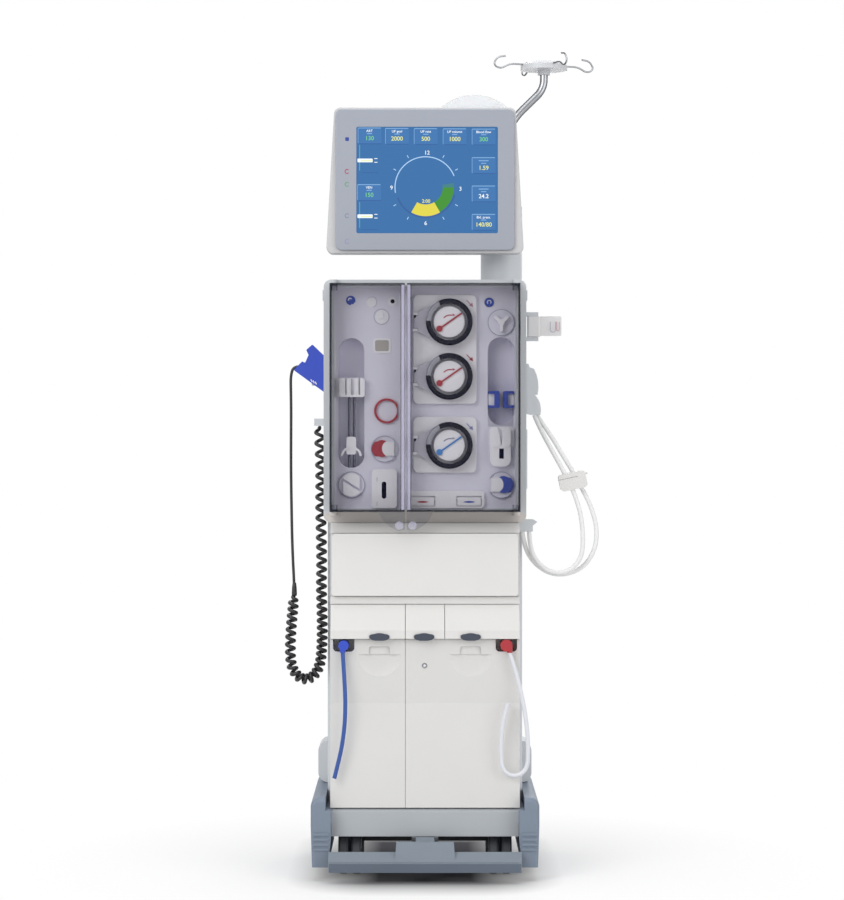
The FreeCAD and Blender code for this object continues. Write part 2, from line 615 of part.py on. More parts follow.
def cabinet_fascia():
    """The white front carcass with the filter bay, the connector bays and the wand notches."""
    w = CABINET_HALF_WIDTH
    chin = CARCASS_FRONT + 18
    outline = [(SHELL_FRONT, SKIRT_TOP + 1), (CARCASS_FRONT - 8, SKIRT_TOP + 1), (CARCASS_FRONT, PANEL_KNEE),
               (PANEL_SEAT, LOWER_PANEL_TOP - 24), (PANEL_SEAT, LOWER_PANEL_TOP - 2),
               (CARCASS_FRONT, HOOD_BOTTOM + 2), (CARCASS_FRONT, HOOD_TOP), (CARCASS_FRONT - 10, HOOD_TOP + 1),
               (CARCASS_FRONT - 10, FLAP_BOTTOM - 1), (CARCASS_FRONT, FLAP_BOTTOM + 1),
               (CARCASS_FRONT + 4, FLAP_TOP), (CARCASS_FRONT - 2, FLAP_TOP + 1),
               (chin, RIM_BOTTOM - RUN_CLEARANCE), (SHELL_FRONT, RIM_BOTTOM - RUN_CLEARANCE)]
    body = side_form(outline, -w, w).cut(filter_bay(SHELL_FRONT + 1))
    for _, x0, x1 in bays():
        bay = slab(x0 + BAY_WALL, x1 - BAY_WALL, HOOD_BOTTOM + 8, HOOD_TOP - 8, HOOD_FRONT,
                   CARCASS_FRONT + BAY_DEPTH, 6)
        body = body.cut(bay)
    for side in (-1, 1):
        x = side * NOTCH_CENTRE
        body = body.cut(notch(x, CARCASS_FRONT + 10, HOOD_BOTTOM + 6))
        body = body.cut(rod(WAND_TIP_RADIUS + PIN_CLEARANCE, (x, WAND_FRONT, WAND_Z),
                            (x, CARCASS_FRONT + 68, WAND_Z)))
    save("cabinet_fascia", body)


def notch(x, depth, top):
    """The cutter of one wand notch, with round lower corners."""
    half = NOTCH_WIDTH / 2
    low = HOOD_BOTTOM - NOTCH_HEIGHT
    cutter = box(x - half, x + half, WAND_FRONT - 9, depth, low, top)
    return soften(cutter, NOTCH_CORNER, Y_AXIS, lambda p: p.z < low + 1)


def lower_panels():
    """The two service panels, which meet under the left hood's edge, with finger bowls and a lock."""
    seam = -BAY_SPLIT - PANEL_GAP / 2
    outline = [(CARCASS_FRONT - 8, SKIRT_TOP + 2), (FOOT_FACE, SKIRT_TOP + 2), (KNEE_FACE, PANEL_KNEE),
               (PANEL_FACE, LOWER_PANEL_TOP), (PANEL_SEAT, LOWER_PANEL_TOP),
               (PANEL_SEAT, LOWER_PANEL_TOP - 24), (CARCASS_FRONT, PANEL_KNEE)]
    panels = []
    for side, x0, x1 in ((-1, -CABINET_HALF_WIDTH, seam - PANEL_GAP / 3), (1, seam + PANEL_GAP / 3, CABINET_HALF_WIDTH)):
        panel = side_form(outline, x0, x1)
        x = side * (BAY_SPLIT + PANEL_GAP + GRIP_INSET)
        face = PANEL_FACE + 3.7
        ball = Part.makeSphere(BOWL_RADIUS, V(x, face + BOWL_DEPTH - BOWL_RADIUS, BOWL_TOP - 16.5))
        bowl = ball.common(box(x - 80, x + 80, face - 30, face + 30, BOWL_TOP - 80, BOWL_TOP))
        slot = slab(x - SLOT_HALF_WIDTH, x + SLOT_HALF_WIDTH, BOWL_TOP - 1, BOWL_TOP + 17, PANEL_FACE - 1,
                    PANEL_FACE + 8, 5)
        panel = panel.cut(bowl).cut(slot)
        panels.append(panel.cut(notch(side * NOTCH_CENTRE, CARCASS_FRONT + 18, HOOD_BOTTOM)))
    back = PANEL_FACE + 10
    front = back - 4.5
    lock = rod(LOCK_RADIUS, (LOCK_X, front, LOCK_Z), (LOCK_X, back, LOCK_Z))
    lock = lock.cut(rod(LOCK_BORE, (LOCK_X, front - 1, LOCK_Z), (LOCK_X, front + 1.5, LOCK_Z)))
    seat = rod(LOCK_RADIUS, (LOCK_X, PANEL_FACE - 4, LOCK_Z), (LOCK_X, back, LOCK_Z))
    save("lower_panels", panels[0], panels[1].cut(seat), lock)


def filter_flap():
    """The flap over the filters, hinged in its rounded bottom edge."""
    w = CABINET_HALF_WIDTH - 3
    low = FLAP_BOTTOM + 1
    high = FLAP_TOP - 0.5
    flap = side_form([(CARCASS_FRONT - 4, high), (FLAP_FOOT, low), (CARCASS_FRONT - 10.6, low),
                      (CARCASS_FRONT - 0.6, low + 2), (CARCASS_FRONT + 3.4, high)], -w, w)
    flap = soften(flap, EDGE_ROUND, X_AXIS, lambda p: p.y < FLAP_FOOT + 0.1)
    save("filter_flap", flap.common(slab(-w, w, low, high, HOOD_FRONT, SHELL_FRONT, 8)))


def hoods():
    """Three lift-up hoods, each with a dark lens-shaped grip at its lower edge."""
    inset = BAY_SPLIT + PANEL_GAP + GRIP_INSET
    low = HOOD_BOTTOM + 1
    brow = HOOD_BOTTOM + 19
    for (name, x0, x1), grip_x in zip(bays(), (-inset, -2.0, inset)):
        outside = [(CARCASS_FRONT - 0.6, HOOD_TOP - 1), (CARCASS_FRONT - 10, HOOD_TOP), (HOOD_FRONT + 2, brow),
                   (HOOD_FRONT, low)]
        hood = side_form(outside + [(HOOD_FRONT + 7, low), (HOOD_FRONT + 9, brow),
                                    (CARCASS_FRONT - 8, HOOD_TOP - 8)], x0, x1)
        for edge in (x0, x1 - HOOD_CHEEK):
            cheek = side_form(outside + [(CARCASS_FRONT - 0.6, HOOD_BOTTOM + 2)], edge, edge + HOOD_CHEEK)
            hood = hood.fuse(cheek)
        hood = soften(hood.removeSplitter(), EDGE_ROUND, X_AXIS,
                      lambda p: p.z > HOOD_TOP - 0.1 and p.y < CARCASS_FRONT - 9)
        grip = lens(grip_x, HOOD_BOTTOM + GRIP_RISE, GRIP_LENGTH, GRIP_HEIGHT, HOOD_FRONT - 3, HOOD_FRONT + 6)
        save(name + "_hood", hood.cut(grip), grip)


def door_edges(side):
    """The low and high X of the door on one side."""
    gap = DOOR_GAP / 2
    return (-DOOR_HALF_WIDTH, DOOR_SPLIT - gap) if side < 0 else (DOOR_SPLIT + gap, DOOR_HALF_WIDTH)


def hinge_point(side):
    """Where a door's upright pivot stands."""
    return side * (DOOR_HALF_WIDTH - HINGE_INSET), DOOR_BACK - HINGE_DEPTH


def door_lug(side, low):
    """One lug of the housing that holds a door's pivot pin."""
    x, y = hinge_point(side)
    lug = rod(HINGE_INSET, (x, y, low), (x, y, low + HINGE_LUG))
    return lug.fuse(box(x - HINGE_INSET, x + HINGE_INSET, y, RIM_FRONT + 1, low, low + HINGE_LUG))


def module_housing():
    """The casing of the blood section: front rim, body, pocket, door lugs and sensor holder."""
    rim = slab(-RIM_HALF_WIDTH, RIM_HALF_WIDTH, RIM_BOTTOM, MODULE_TOP, RIM_FRONT, RIM_BACK, RIM_CORNER)
    body = box(-MODULE_HALF_WIDTH, MODULE_HALF_WIDTH, RIM_BACK, MODULE_REAR, MODULE_BOTTOM, MODULE_TOP)
    body = soften(body, 18, Z_AXIS, lambda p: p.y > 0)
    body = soften(body, 12, X_AXIS, lambda p: p.y > 0 and p.z > MODULE_BOTTOM + 1)
    swell = box(MODULE_HALF_WIDTH - 30, MODULE_HALF_WIDTH + 20, POCKET_BACK - 30, POCKET_BACK + 120, 838, 968)
    swell = soften(swell, 19, Z_AXIS, lambda p: p.x > MODULE_HALF_WIDTH)
    housing = joined(rim, body, swell)
    housing = housing.cut(box(-POCKET_HALF_WIDTH, POCKET_HALF_WIDTH, RIM_FRONT - 1, POCKET_BACK,
                              POCKET_BOTTOM, POCKET_TOP))
    for side in (-1, 1):
        for low in (DOOR_BOTTOM - RUN_CLEARANCE - HINGE_LUG, DOOR_TOP + RUN_CLEARANCE):
            housing = housing.fuse(door_lug(side, low))
        x, y = hinge_point(side)
        housing = housing.cut(rod(HINGE_PIN_RADIUS + PIN_CLEARANCE, (x, y, MODULE_BOTTOM), (x, y, MODULE_TOP + 5)))
    holder = slab(-248, -MODULE_HALF_WIDTH + 1, HOLDER_LOW, HOLDER_HIGH, SENSOR_BACK + 0.3, SENSOR_BACK + 5, 2)
    housing = housing.cut(rod(POLE_RADIUS + PIN_CLEARANCE, (POLE_X, POLE_Y, POLE_BOTTOM - 6),
                              (POLE_X, POLE_Y, MODULE_TOP + 1)))
    gland = box(-242, -MODULE_HALF_WIDTH + 1, RIM_BACK + 0.4, SENSOR_BACK + 11, 976, 992)
    save("module_housing", joined(housing, holder, gland, *dialyser_lugs()))


def doors():
    """Two clear box-shaped doors with hanging ears and pivot pins."""
    for name, side in (("left", -1), ("right", 1)):
        x0, x1 = door_edges(side)
        x, y = hinge_point(side)
        shell = slab(x0, x1, DOOR_BOTTOM, DOOR_TOP, DOOR_FRONT, DOOR_BACK)
        shell = soften(shell, DOOR_CORNER, Z_AXIS, lambda p: p.y < DOOR_FRONT + 1)
        t = DOOR_WALL
        shell = shell.cut(box(x0 + t, x1 - t, DOOR_FRONT + t, DOOR_BACK + 1, DOOR_BOTTOM + t, DOOR_TOP - t))
        for low in (DOOR_BOTTOM, DOOR_TOP - HINGE_BOSS):
            shell = shell.fuse(rod(HINGE_INSET, (x, y, low), (x, y, low + HINGE_BOSS)))
        for low, high in ((DOOR_BOTTOM - HINGE_LUG, DOOR_BOTTOM + 4), (DOOR_TOP - 4, DOOR_TOP + HINGE_LUG)):
            shell = shell.fuse(rod(HINGE_PIN_RADIUS, (x, y, low), (x, y, high)))
        inner = x1 if side < 0 else x0
        top = DOOR_BOTTOM + 1
        tip = DOOR_BOTTOM - EAR_DROP
        ear = curved_form((inner + side * 57, top),
                          [((inner + side * 40, tip + 15), (inner + side * 12, tip)), (inner, tip + 2),
                           (inner, top)], DOOR_FRONT, DOOR_FRONT + 8)
        pad_x = inner + side * 12
        pad = rod(9, (pad_x, DOOR_FRONT - 3, tip + 11), (pad_x, DOOR_FRONT + 1, tip + 11))
        save(name + "_door", joined(shell, ear, pad))


def front_rod(x, z, radius, y0, y1):
    """A round boss facing -Y."""
    return rod(radius, (x, y0, z), (x, y1, z))


def syringe_pump():
    """The crosshead and the two guide rods of the syringe pump."""
    x = SYRINGE_X
    guides = [rod(GUIDE_RADIUS, (x + offset, GUIDE_Y, SYRINGE_LOW + 1.4), (x + offset, GUIDE_Y, CROSSHEAD_LOW + 7))
              for offset in (-GUIDE_SPREAD, GUIDE_SPREAD)]
    back = GUIDE_Y + 23
    crosshead = slab(-SIDE_REACH, x + SYRINGE_HALF_WIDTH + 1, CROSSHEAD_LOW, CROSSHEAD_HIGH, CONTROL_FRONT,
                     back, 5)
    ledge = slab(x - SYRINGE_HALF_WIDTH - 5, x, CROSSHEAD_LOW, CROSSHEAD_HIGH, BACK_LEVEL, back, 3)
    crosshead = crosshead.fuse(ledge)
    for left, right in ((x - 13, x - 10), (x - 1, x + 6), (x + 16, x + 19)):
        crosshead = crosshead.cut(box(left, right, CONTROL_FRONT - 1, CONTROL_FRONT + 12,
                                      CROSSHEAD_LOW + 5, CROSSHEAD_HIGH + 1))
    for rib in range(4):
        low = CROSSHEAD_LOW + 9 + 7 * rib
        crosshead = crosshead.cut(box(-SIDE_REACH + 3, x - 15, CONTROL_FRONT - 1, CONTROL_FRONT + 2, low, low + 3))
    return guides + [crosshead]


def left_module_panel():
    """The left panel: syringe channel, window, red ring, slot block, small discs and knob seat."""
    front = PANEL_FRONT
    under = front + 2
    panel = box(-POCKET_HALF_WIDTH, PANEL_SPLIT, front, POCKET_BACK, POCKET_BOTTOM, POCKET_TOP)
    panel = panel.cut(slab(SYRINGE_X - SYRINGE_HALF_WIDTH, SYRINGE_X + SYRINGE_HALF_WIDTH, SYRINGE_LOW,
                           SYRINGE_HIGH, front - 1, GUIDE_Y + 22, SYRINGE_HALF_WIDTH - 0.1))
    button = front_rod(SYRINGE_X - 1.4, 1249, 10.2, front - 2.5, under)
    disc = front_rod(-117, 1245, 10.5, front - 1.2, under)
    stud = front_rod(-70.6, 1247, 10, front - 2.5, under).fuse(front_rod(-70.6, 1247, 4.5, front - 5, under))
    port = lobed_grip(-93.4, 1213, 14.5, front - 6, front - 2, (90, 210, 330))
    port = port.fuse(front_rod(-93.4, 1213, 14.5, front - 2, under))
    window = slab(-108.6, -78.2, 1138.7, 1162.6, front - 2, under, 3)
    tabs = slab(-114, -73, 1143, 1159, front - 1, under, 3)
    ring = front_rod(-83.3, 1008.6, 27.4, front - 6, under).cut(front_rod(-83.3, 1008.6, 22.4, front - 7, front))
    ring = ring.common(box(-150, PANEL_SPLIT - 1, front - 7, under, 970, 1050))
    slot_block = slab(-115.5, -61, POCKET_BOTTOM + 0.5, POCKET_BOTTOM + 85, front - 12, under, 7)
    slot_block = slot_block.cut(slab(-94, -84, POCKET_BOTTOM + 21, POCKET_BOTTOM + 58, front - 13, front - 2, 4.9))
    panel = joined(panel, *syringe_pump(), button, disc, stud, port, tabs, window, ring, slot_block)
    x, z = PRESSURE_KNOB
    save("left_module_panel", panel.cut(front_rod(x, z, KNOB_SHAFT + PIN_CLEARANCE, front - 1, front + 20)))


def raised_plate(low, high):
    """A raised pump plate, rounded towards the middle of the machine."""
    x0 = COVER_HINGE_X - 5
    plate = slab(x0, PUMP_X + 60, low, high, RAISED_FRONT, PANEL_FRONT + 1, 12)
    return ease_front(plate, 2, RAISED_FRONT)


def pump_panel():
    """The main panel with its two raised plates, rotor wells, catcher recess and port block."""
    front = PANEL_FRONT
    panel = box(PANEL_SPLIT, POCKET_HALF_WIDTH, front, POCKET_BACK, POCKET_BOTTOM, POCKET_TOP)
    heights = dict(PUMP_HEIGHTS)
    port_block = slab(-39, 129, POCKET_BOTTOM + 0.5, PORT_TOP, PORT_FRONT, front + 1, 8)
    panel = joined(panel, raised_plate(heights["middle"] - 60, heights["top"] + 60),
                   raised_plate(heights["bottom"] - 60, heights["bottom"] + 62), port_block)
    x = COVER_HINGE_X
    for _, z in PUMP_HEIGHTS:
        for low in (z + KNUCKLE_HALF_HEIGHT + RUN_CLEARANCE, z - KNUCKLE_HALF_HEIGHT - RUN_CLEARANCE - BRACKET_HEIGHT):
            panel = panel.fuse(box(x - 5, x + 5, COVER_HINGE_Y - 5, RAISED_FRONT + 1, low, low + BRACKET_HEIGHT))
        panel = panel.cut(rod(COVER_PIN_RADIUS + PIN_CLEARANCE, (x, COVER_HINGE_Y, z - 30), (x, COVER_HINGE_Y, z + 30)))
        panel = panel.cut(front_rod(PUMP_X, z, ROTOR_SHAFT + PIN_CLEARANCE, RAISED_FRONT - 1, RAISED_FRONT + 30))
    panel = panel.cut(slab(CATCHER_X0, CATCHER_X1, CATCHER_LOW, CATCHER_HIGH, front - 1, front + CATCHER_DEPTH, 28))
    panel = panel.cut(front_rod(*BUTTON, BUTTON_RADIUS + 0.3, front - 1, front + 12))
    panel = panel.cut(front_rod(*PORT_KNOB, KNOB_SHAFT + PIN_CLEARANCE, front - 1, front + 20))
    reach = PORT_HALF_WIDTH + 4
    for _, x in PORTS:
        panel = panel.cut(slab(x - reach + 2, x + reach - 2, POCKET_BOTTOM + 4, PORT_AXIS_Z + 6, PORT_FRONT - 1,
                               PORT_FRONT + 7, 3))
        panel = panel.cut(rod(PORT_PIN_RADIUS + PIN_CLEARANCE, (x - reach - 1, PORT_AXIS_Y, PORT_AXIS_Z),
                              (x + reach + 1, PORT_AXIS_Y, PORT_AXIS_Z)))
    save("pump_panel", panel)


def pumps():
    """Three roller pumps: a swinging cover with its ring, and a turning rotor with a pointer."""
    back = RAISED_FRONT - RUN_CLEARANCE
    for name, z in PUMP_HEIGHTS:
        ring = front_rod(PUMP_X, z, RING_OUTER, RING_FRONT, back)
        ring = ring.makeFillet(5, [edge for edge in ring.Edges
                                   if edge.Closed and edge.CenterOfMass.y < RING_FRONT + 1])
        hub_x = COVER_HINGE_X + 6
        y0, y1 = COVER_HINGE_Y - KNUCKLE_RADIUS, COVER_HINGE_Y + KNUCKLE_RADIUS
        neck = front_form([(hub_x, z + 21), (PUMP_X - 30, z + 40), (PUMP_X - 30, z - 40), (hub_x, z - 21)], y0, y1)
        x = COVER_HINGE_X
        knuckle = rod(KNUCKLE_RADIUS, (x, COVER_HINGE_Y, z - KNUCKLE_HALF_HEIGHT),
                      (x, COVER_HINGE_Y, z + KNUCKLE_HALF_HEIGHT))
        web = box(x, hub_x + 1, y0, y1, z - KNUCKLE_HALF_HEIGHT + 1, z + KNUCKLE_HALF_HEIGHT - 1)
        pin_reach = KNUCKLE_HALF_HEIGHT + RUN_CLEARANCE + BRACKET_HEIGHT
        pin = rod(COVER_PIN_RADIUS, (x, COVER_HINGE_Y, z - pin_reach), (x, COVER_HINGE_Y, z + pin_reach))
        cover = joined(ring, neck, knuckle, web, pin)
        save("pump_cover_" + name, cover.cut(front_rod(PUMP_X, z, RING_BORE, RING_FRONT - 1, back + 1)))
        disc = front_rod(PUMP_X, z, ROTOR_RADIUS, ROTOR_FRONT, back)
        disc = disc.makeChamfer(1.5, [edge for edge in disc.Edges
                                      if edge.Closed and edge.CenterOfMass.y < ROTOR_FRONT + 1])
        shaft = front_rod(PUMP_X, z, ROTOR_SHAFT, back - 1, RAISED_FRONT + 28)
        reach = ROTOR_RADIUS - 1.5
        bar = box(PUMP_X - reach + 7, PUMP_X + reach, ROTOR_FRONT - 3, ROTOR_FRONT + 1, z - 1.7, z + 1.7)
        bar = bar.fuse(front_rod(PUMP_X - reach + 7, z, 6.8, ROTOR_FRONT - 4, ROTOR_FRONT + 1))
        bar.rotate(V(PUMP_X, 0, z), Y_AXIS, -ARROW_TURN)
        save("pump_rotor_" + name, joined(disc, shaft, bar))


def lobed_grip(x, z, radius, y0, y1, angles):
    """A grip of round-ended wings about a middle, seen from the front."""
    hub = front_rod(x, z, radius * 0.25, y0, y1)
    half = radius * 0.13
    for angle in angles:
        wing = slab(x, x + radius * 0.7, z - half, z + half, y0, y1, half - 0.1)
        wing.rotate(V(x, 0, z), Y_AXIS, -angle)
        hub = hub.fuse(wing)
    return hub


def knob_base(x, z):
    """The round skirt and the shaft of a turning knob."""
    base = front_rod(x, z, KNOB_RADIUS, PANEL_FRONT - 5, PANEL_FRONT - RUN_CLEARANCE)
    return base.fuse(front_rod(x, z, KNOB_SHAFT, PANEL_FRONT - 2, PANEL_FRONT + 18))


def knobs():
    """The pressure knob with its two thumb pads, and the port knob with its three wings."""
    x, z = PRESSURE_KNOB
    pads = front_rod(x, z, KNOB_RADIUS * 0.86, KNOB_FRONT + 4, PANEL_FRONT - 4)
    groove = box(x - KNOB_RADIUS, x + KNOB_RADIUS, KNOB_FRONT, PANEL_FRONT - 5, z - 2.4, z + 2.4)
    side_cut = box(x - KNOB_RADIUS, x - KNOB_RADIUS * 0.62, KNOB_FRONT, PANEL_FRONT - 5, z - 30, z + 30)
    far_cut = box(x + KNOB_RADIUS * 0.62, x + KNOB_RADIUS, KNOB_FRONT, PANEL_FRONT - 5, z - 30, z + 30)
    groove.rotate(V(x, 0, z), Y_AXIS, 32)
    save("pressure_knob", joined(knob_base(x, z), pads.cut(groove).cut(side_cut).cut(far_cut)))
    x, z = PORT_KNOB
    save("port_knob", joined(knob_base(x, z), lobed_grip(x, z, KNOB_RADIUS, KNOB_FRONT, PANEL_FRONT - 4,
                                                         (40, 140, 270))))


def syringe_driver():
    """The driver that rides on the guide rods, with its two curved wings."""
    x = SYRINGE_X
    base = 909.0
    body = slab(x - 10.5, x + 10.5, base + 5, base + 43.5, CONTROL_FRONT + 4, GUIDE_Y + 6, 5)
    wings = front_rod(x, base, 23, CONTROL_FRONT + 2, CONTROL_FRONT + 12)
    wings = wings.cut(front_rod(x, base, 18, CONTROL_FRONT, CONTROL_FRONT + 14))
    wings = wings.cut(box(x - 30, x + 30, CONTROL_FRONT, CONTROL_FRONT + 14, base - 30, base + 2))
    driver = joined(body, wings)
    for offset in (-GUIDE_SPREAD, GUIDE_SPREAD):
        driver = driver.cut(rod(GUIDE_RADIUS + PIN_CLEARANCE, (x + offset, GUIDE_Y, base - 10),
                                (x + offset, GUIDE_Y, base + 60)))
    save("syringe_driver", driver)


def plunger(x, z, side, grow=0.0):
    """The white finger of a line clamp, with its round nose towards the jaw."""
    nose = front_rod(x - side * 3, z, 14.5 + grow, PANEL_FRONT - 10, PANEL_FRONT - 4 - RUN_CLEARANCE)
    x0, x1 = sorted((x - side * 3, x - side * 22))
    return nose.fuse(box(x0, x1, PANEL_FRONT - 10, PANEL_FRONT - 4 - RUN_CLEARANCE, z - 14.5 - grow, z + 14.5 + grow))


def line_clamps():
    """The clamps' seats with their crescent jaws, their plungers, and the catcher's blue clips."""
    solids = []
    for name, x, z, side in CLAMPS:
        save(name + "_plunger", plunger(x, z, side).removeSplitter())
        seat = front_rod(x, z, CLAMP_RADIUS, PANEL_FRONT - CLAMP_SEAT, PANEL_FRONT)
        seat = seat.cut(front_rod(x, z, CLAMP_RADIUS - 1.2, PANEL_FRONT - 8, PANEL_FRONT - 4))
        jaw = front_rod(x + side * 7, z, 20.5, PANEL_FRONT - CLAMP_SEAT, PANEL_FRONT - 3.5)
        jaw = jaw.cut(plunger(x, z, side, 1.0))
        far = x - side * 4
        keep0, keep1 = sorted((far, x + side * 60))
        jaw = jaw.common(box(keep0, keep1, PANEL_FRONT - 12, PANEL_FRONT, z - 16, z + 16))
        passage = box(x - 30, x + 30, PANEL_FRONT - 12, PANEL_FRONT - 4 - RUN_CLEARANCE / 2, z - 16, z + 16)
        solids.append(joined(seat.cut(passage), jaw))
    for x0, x1, open_side in ((CATCHER_X0 + 1, CATCHER_X0 + 25.4, -1), (CATCHER_X0 + 34, CATCHER_X1 - 1, 1)):
        clip = slab(x0, x1, CLIP_LOW, CLIP_HIGH, PANEL_FRONT - 6, PANEL_FRONT + CATCHER_DEPTH, 3)
        c0, c1 = sorted((x0 if open_side < 0 else x1, (x0 + x1) / 2))
        clip = clip.cut(box(c0 - 1, c1 + 1, PANEL_FRONT - 7, PANEL_FRONT + 4, CLIP_LOW + 6, CLIP_HIGH - 6))
        solids.append(clip)
    save("line_clips", *solids)


def ports():
    """The power button and the two port flaps, each with a lens-shaped mark."""
    x, z = BUTTON
    button = front_rod(x, z, BUTTON_RADIUS, BUTTON_FRONT, PANEL_FRONT + 8)
    save("power_button", button.makeChamfer(1.2, [edge for edge in button.Edges if edge.Closed
                                                  and edge.CenterOfMass.y < PANEL_FRONT]))
    for name, x in PORTS:
        top = PORT_AXIS_Z + 3
        flap = slab(x - PORT_HALF_WIDTH, x + PORT_HALF_WIDTH, POCKET_BOTTOM + 6, top, PORT_FRONT, PORT_FRONT + 5, 2)
        mark = lens(x, POCKET_BOTTOM + 14, 27, 4, PORT_FRONT - 0.8, PORT_FRONT + 1)
        pin = rod(PORT_PIN_RADIUS, (x - PORT_HALF_WIDTH - 3, PORT_AXIS_Y, PORT_AXIS_Z),
                  (x + PORT_HALF_WIDTH + 3, PORT_AXIS_Y, PORT_AXIS_Z))
        save(name + "_port_flap", joined(flap, mark, pin))


def level_detector():
    """The level detector under the catcher: two lobes above a round-bottomed body with a slot."""
    middle = (CATCHER_X0 + CATCHER_X1) / 2
    split = DETECTOR_LOW + 46
    front = PANEL_FRONT - 20
    wide = slab(CATCHER_X0 + 2, CATCHER_X1 - 1, split - 6, DETECTOR_HIGH, BACK_LEVEL, PANEL_FRONT, 8)
    body = slab(middle - 25, SIDE_REACH, DETECTOR_LOW, split + 10, front + 3, PANEL_FRONT, 15)
    for offset in (-13.5, 12.0):
        lobe = slab(middle + offset - 12, min(middle + offset + 12, SIDE_REACH), split - 4, DETECTOR_HIGH, front,
                    PANEL_FRONT, 9)
        body = body.fuse(lobe)
    body = joined(wide, body)
    notch_cut = front_form([(middle - 8, DETECTOR_HIGH + 1), (middle + 7, DETECTOR_HIGH + 1), (middle, split)],
                           front - 1, PANEL_FRONT - 8)
    slot = box(middle - 4.6, middle + 5.4, front - 1, PANEL_FRONT - 6, DETECTOR_LOW + 17, DETECTOR_LOW + 39)
    save("level_detector", body.cut(notch_cut).cut(slot))


def monitor_post():
    """The round post under the monitor, the stub its yoke turns on and the pole's sleeve."""
    post = rod(POST_RADIUS, (POST_X, 0, MODULE_TOP), (POST_X, 0, POST_TOP))
    stub = rod(STUB_RADIUS, (POST_X, 0, POST_TOP), (POST_X, 0, POST_TOP + STUB_HEIGHT))
    sleeve_top = MODULE_TOP + SLEEVE_HEIGHT
    sleeve = rod(POLE_RADIUS + SLEEVE_WALL, (POLE_X, POLE_Y, MODULE_TOP), (POLE_X, POLE_Y, sleeve_top))
    bridge = box(POLE_X - 19, POLE_X + 9, POST_RADIUS - 16, POLE_Y, sleeve_top - 50, sleeve_top - 10)
    whole = joined(post, stub, sleeve, bridge)
    save("monitor_post", whole.cut(rod(POLE_RADIUS + PIN_CLEARANCE, (POLE_X, POLE_Y, MODULE_TOP - 1),
                                       (POLE_X, POLE_Y, sleeve_top + 1))))


def monitor_yoke():
    """The yoke that swivels on the post and carries the tilt pin."""
    low = POST_TOP + RUN_CLEARANCE
    cup = rod(POST_RADIUS, (POST_X, 0, low), (POST_X, 0, POST_TOP + YOKE_HEIGHT))
    cup = cup.cut(rod(STUB_RADIUS + PIN_CLEARANCE, (POST_X, 0, POST_TOP - 1), (POST_X, 0, POST_TOP + STUB_HEIGHT + 1)))
    neck = -POST_RADIUS + 14
    cup = cup.cut(box(LUG_INNER - 1, LUG_OUTER + 10, -POST_RADIUS - 14, neck, POST_TOP + 20, POST_TOP + 80))
    tongue = side_form([(neck - 1, POST_TOP + 10), (TILT_Y - 11, TILT_Z - 14), (TILT_Y - 11, TILT_Z + 12),
                        (neck - 1, TILT_Z + 12)], POST_X - TONGUE_HALF_WIDTH, POST_X + TONGUE_HALF_WIDTH)
    pin = rod(TILT_PIN, (LUG_INNER, TILT_Y, TILT_Z), (LUG_OUTER, TILT_Y, TILT_Z))
    save("monitor_yoke", joined(cup, tongue, pin))


def monitor_case():
    """The white housing, which flares towards its foot, with its rear hump and tilt lugs."""
    w = MONITOR_HALF_WIDTH
    case = front_form([(-w - MONITOR_FLARE, MONITOR_BOTTOM), (w + MONITOR_FLARE, MONITOR_BOTTOM), (w, MONITOR_TOP),
                       (-w, MONITOR_TOP)], MONITOR_FRONT + BEZEL_DEPTH, MONITOR_BACK)
    case = ease_front(soften(case, 14, Y_AXIS), 3, MONITOR_FRONT + BEZEL_DEPTH)
    hump = slab(-w + 47, w - 47, MONITOR_BOTTOM + 40, MONITOR_TOP - 40, MONITOR_BACK - 1, MONITOR_BACK + 25, 20)
    case = case.fuse(hump)
    inner = TONGUE_HALF_WIDTH + RUN_CLEARANCE
    root = MONITOR_BACK - 2
    for x0, x1 in ((LUG_INNER + 3, POST_X - inner), (POST_X + inner, LUG_OUTER - 3)):
        lug = side_form([(root, TILT_Z - 26), (TILT_Y, TILT_Z - 12), (TILT_Y + 11, TILT_Z), (TILT_Y, TILT_Z + 12),
                         (root, TILT_Z + 26)], x0, x1)
        case = case.fuse(lug)
    case = case.cut(box(POST_X - inner, POST_X + inner, TILT_Y - 23, 0, TILT_Z - 60, TILT_Z + 60))
    case = case.cut(rod(TILT_PIN + PIN_CLEARANCE, (LUG_INNER - 5, TILT_Y, TILT_Z), (LUG_OUTER + 5, TILT_Y, TILT_Z)))
    save("monitor_housing", case.removeSplitter())


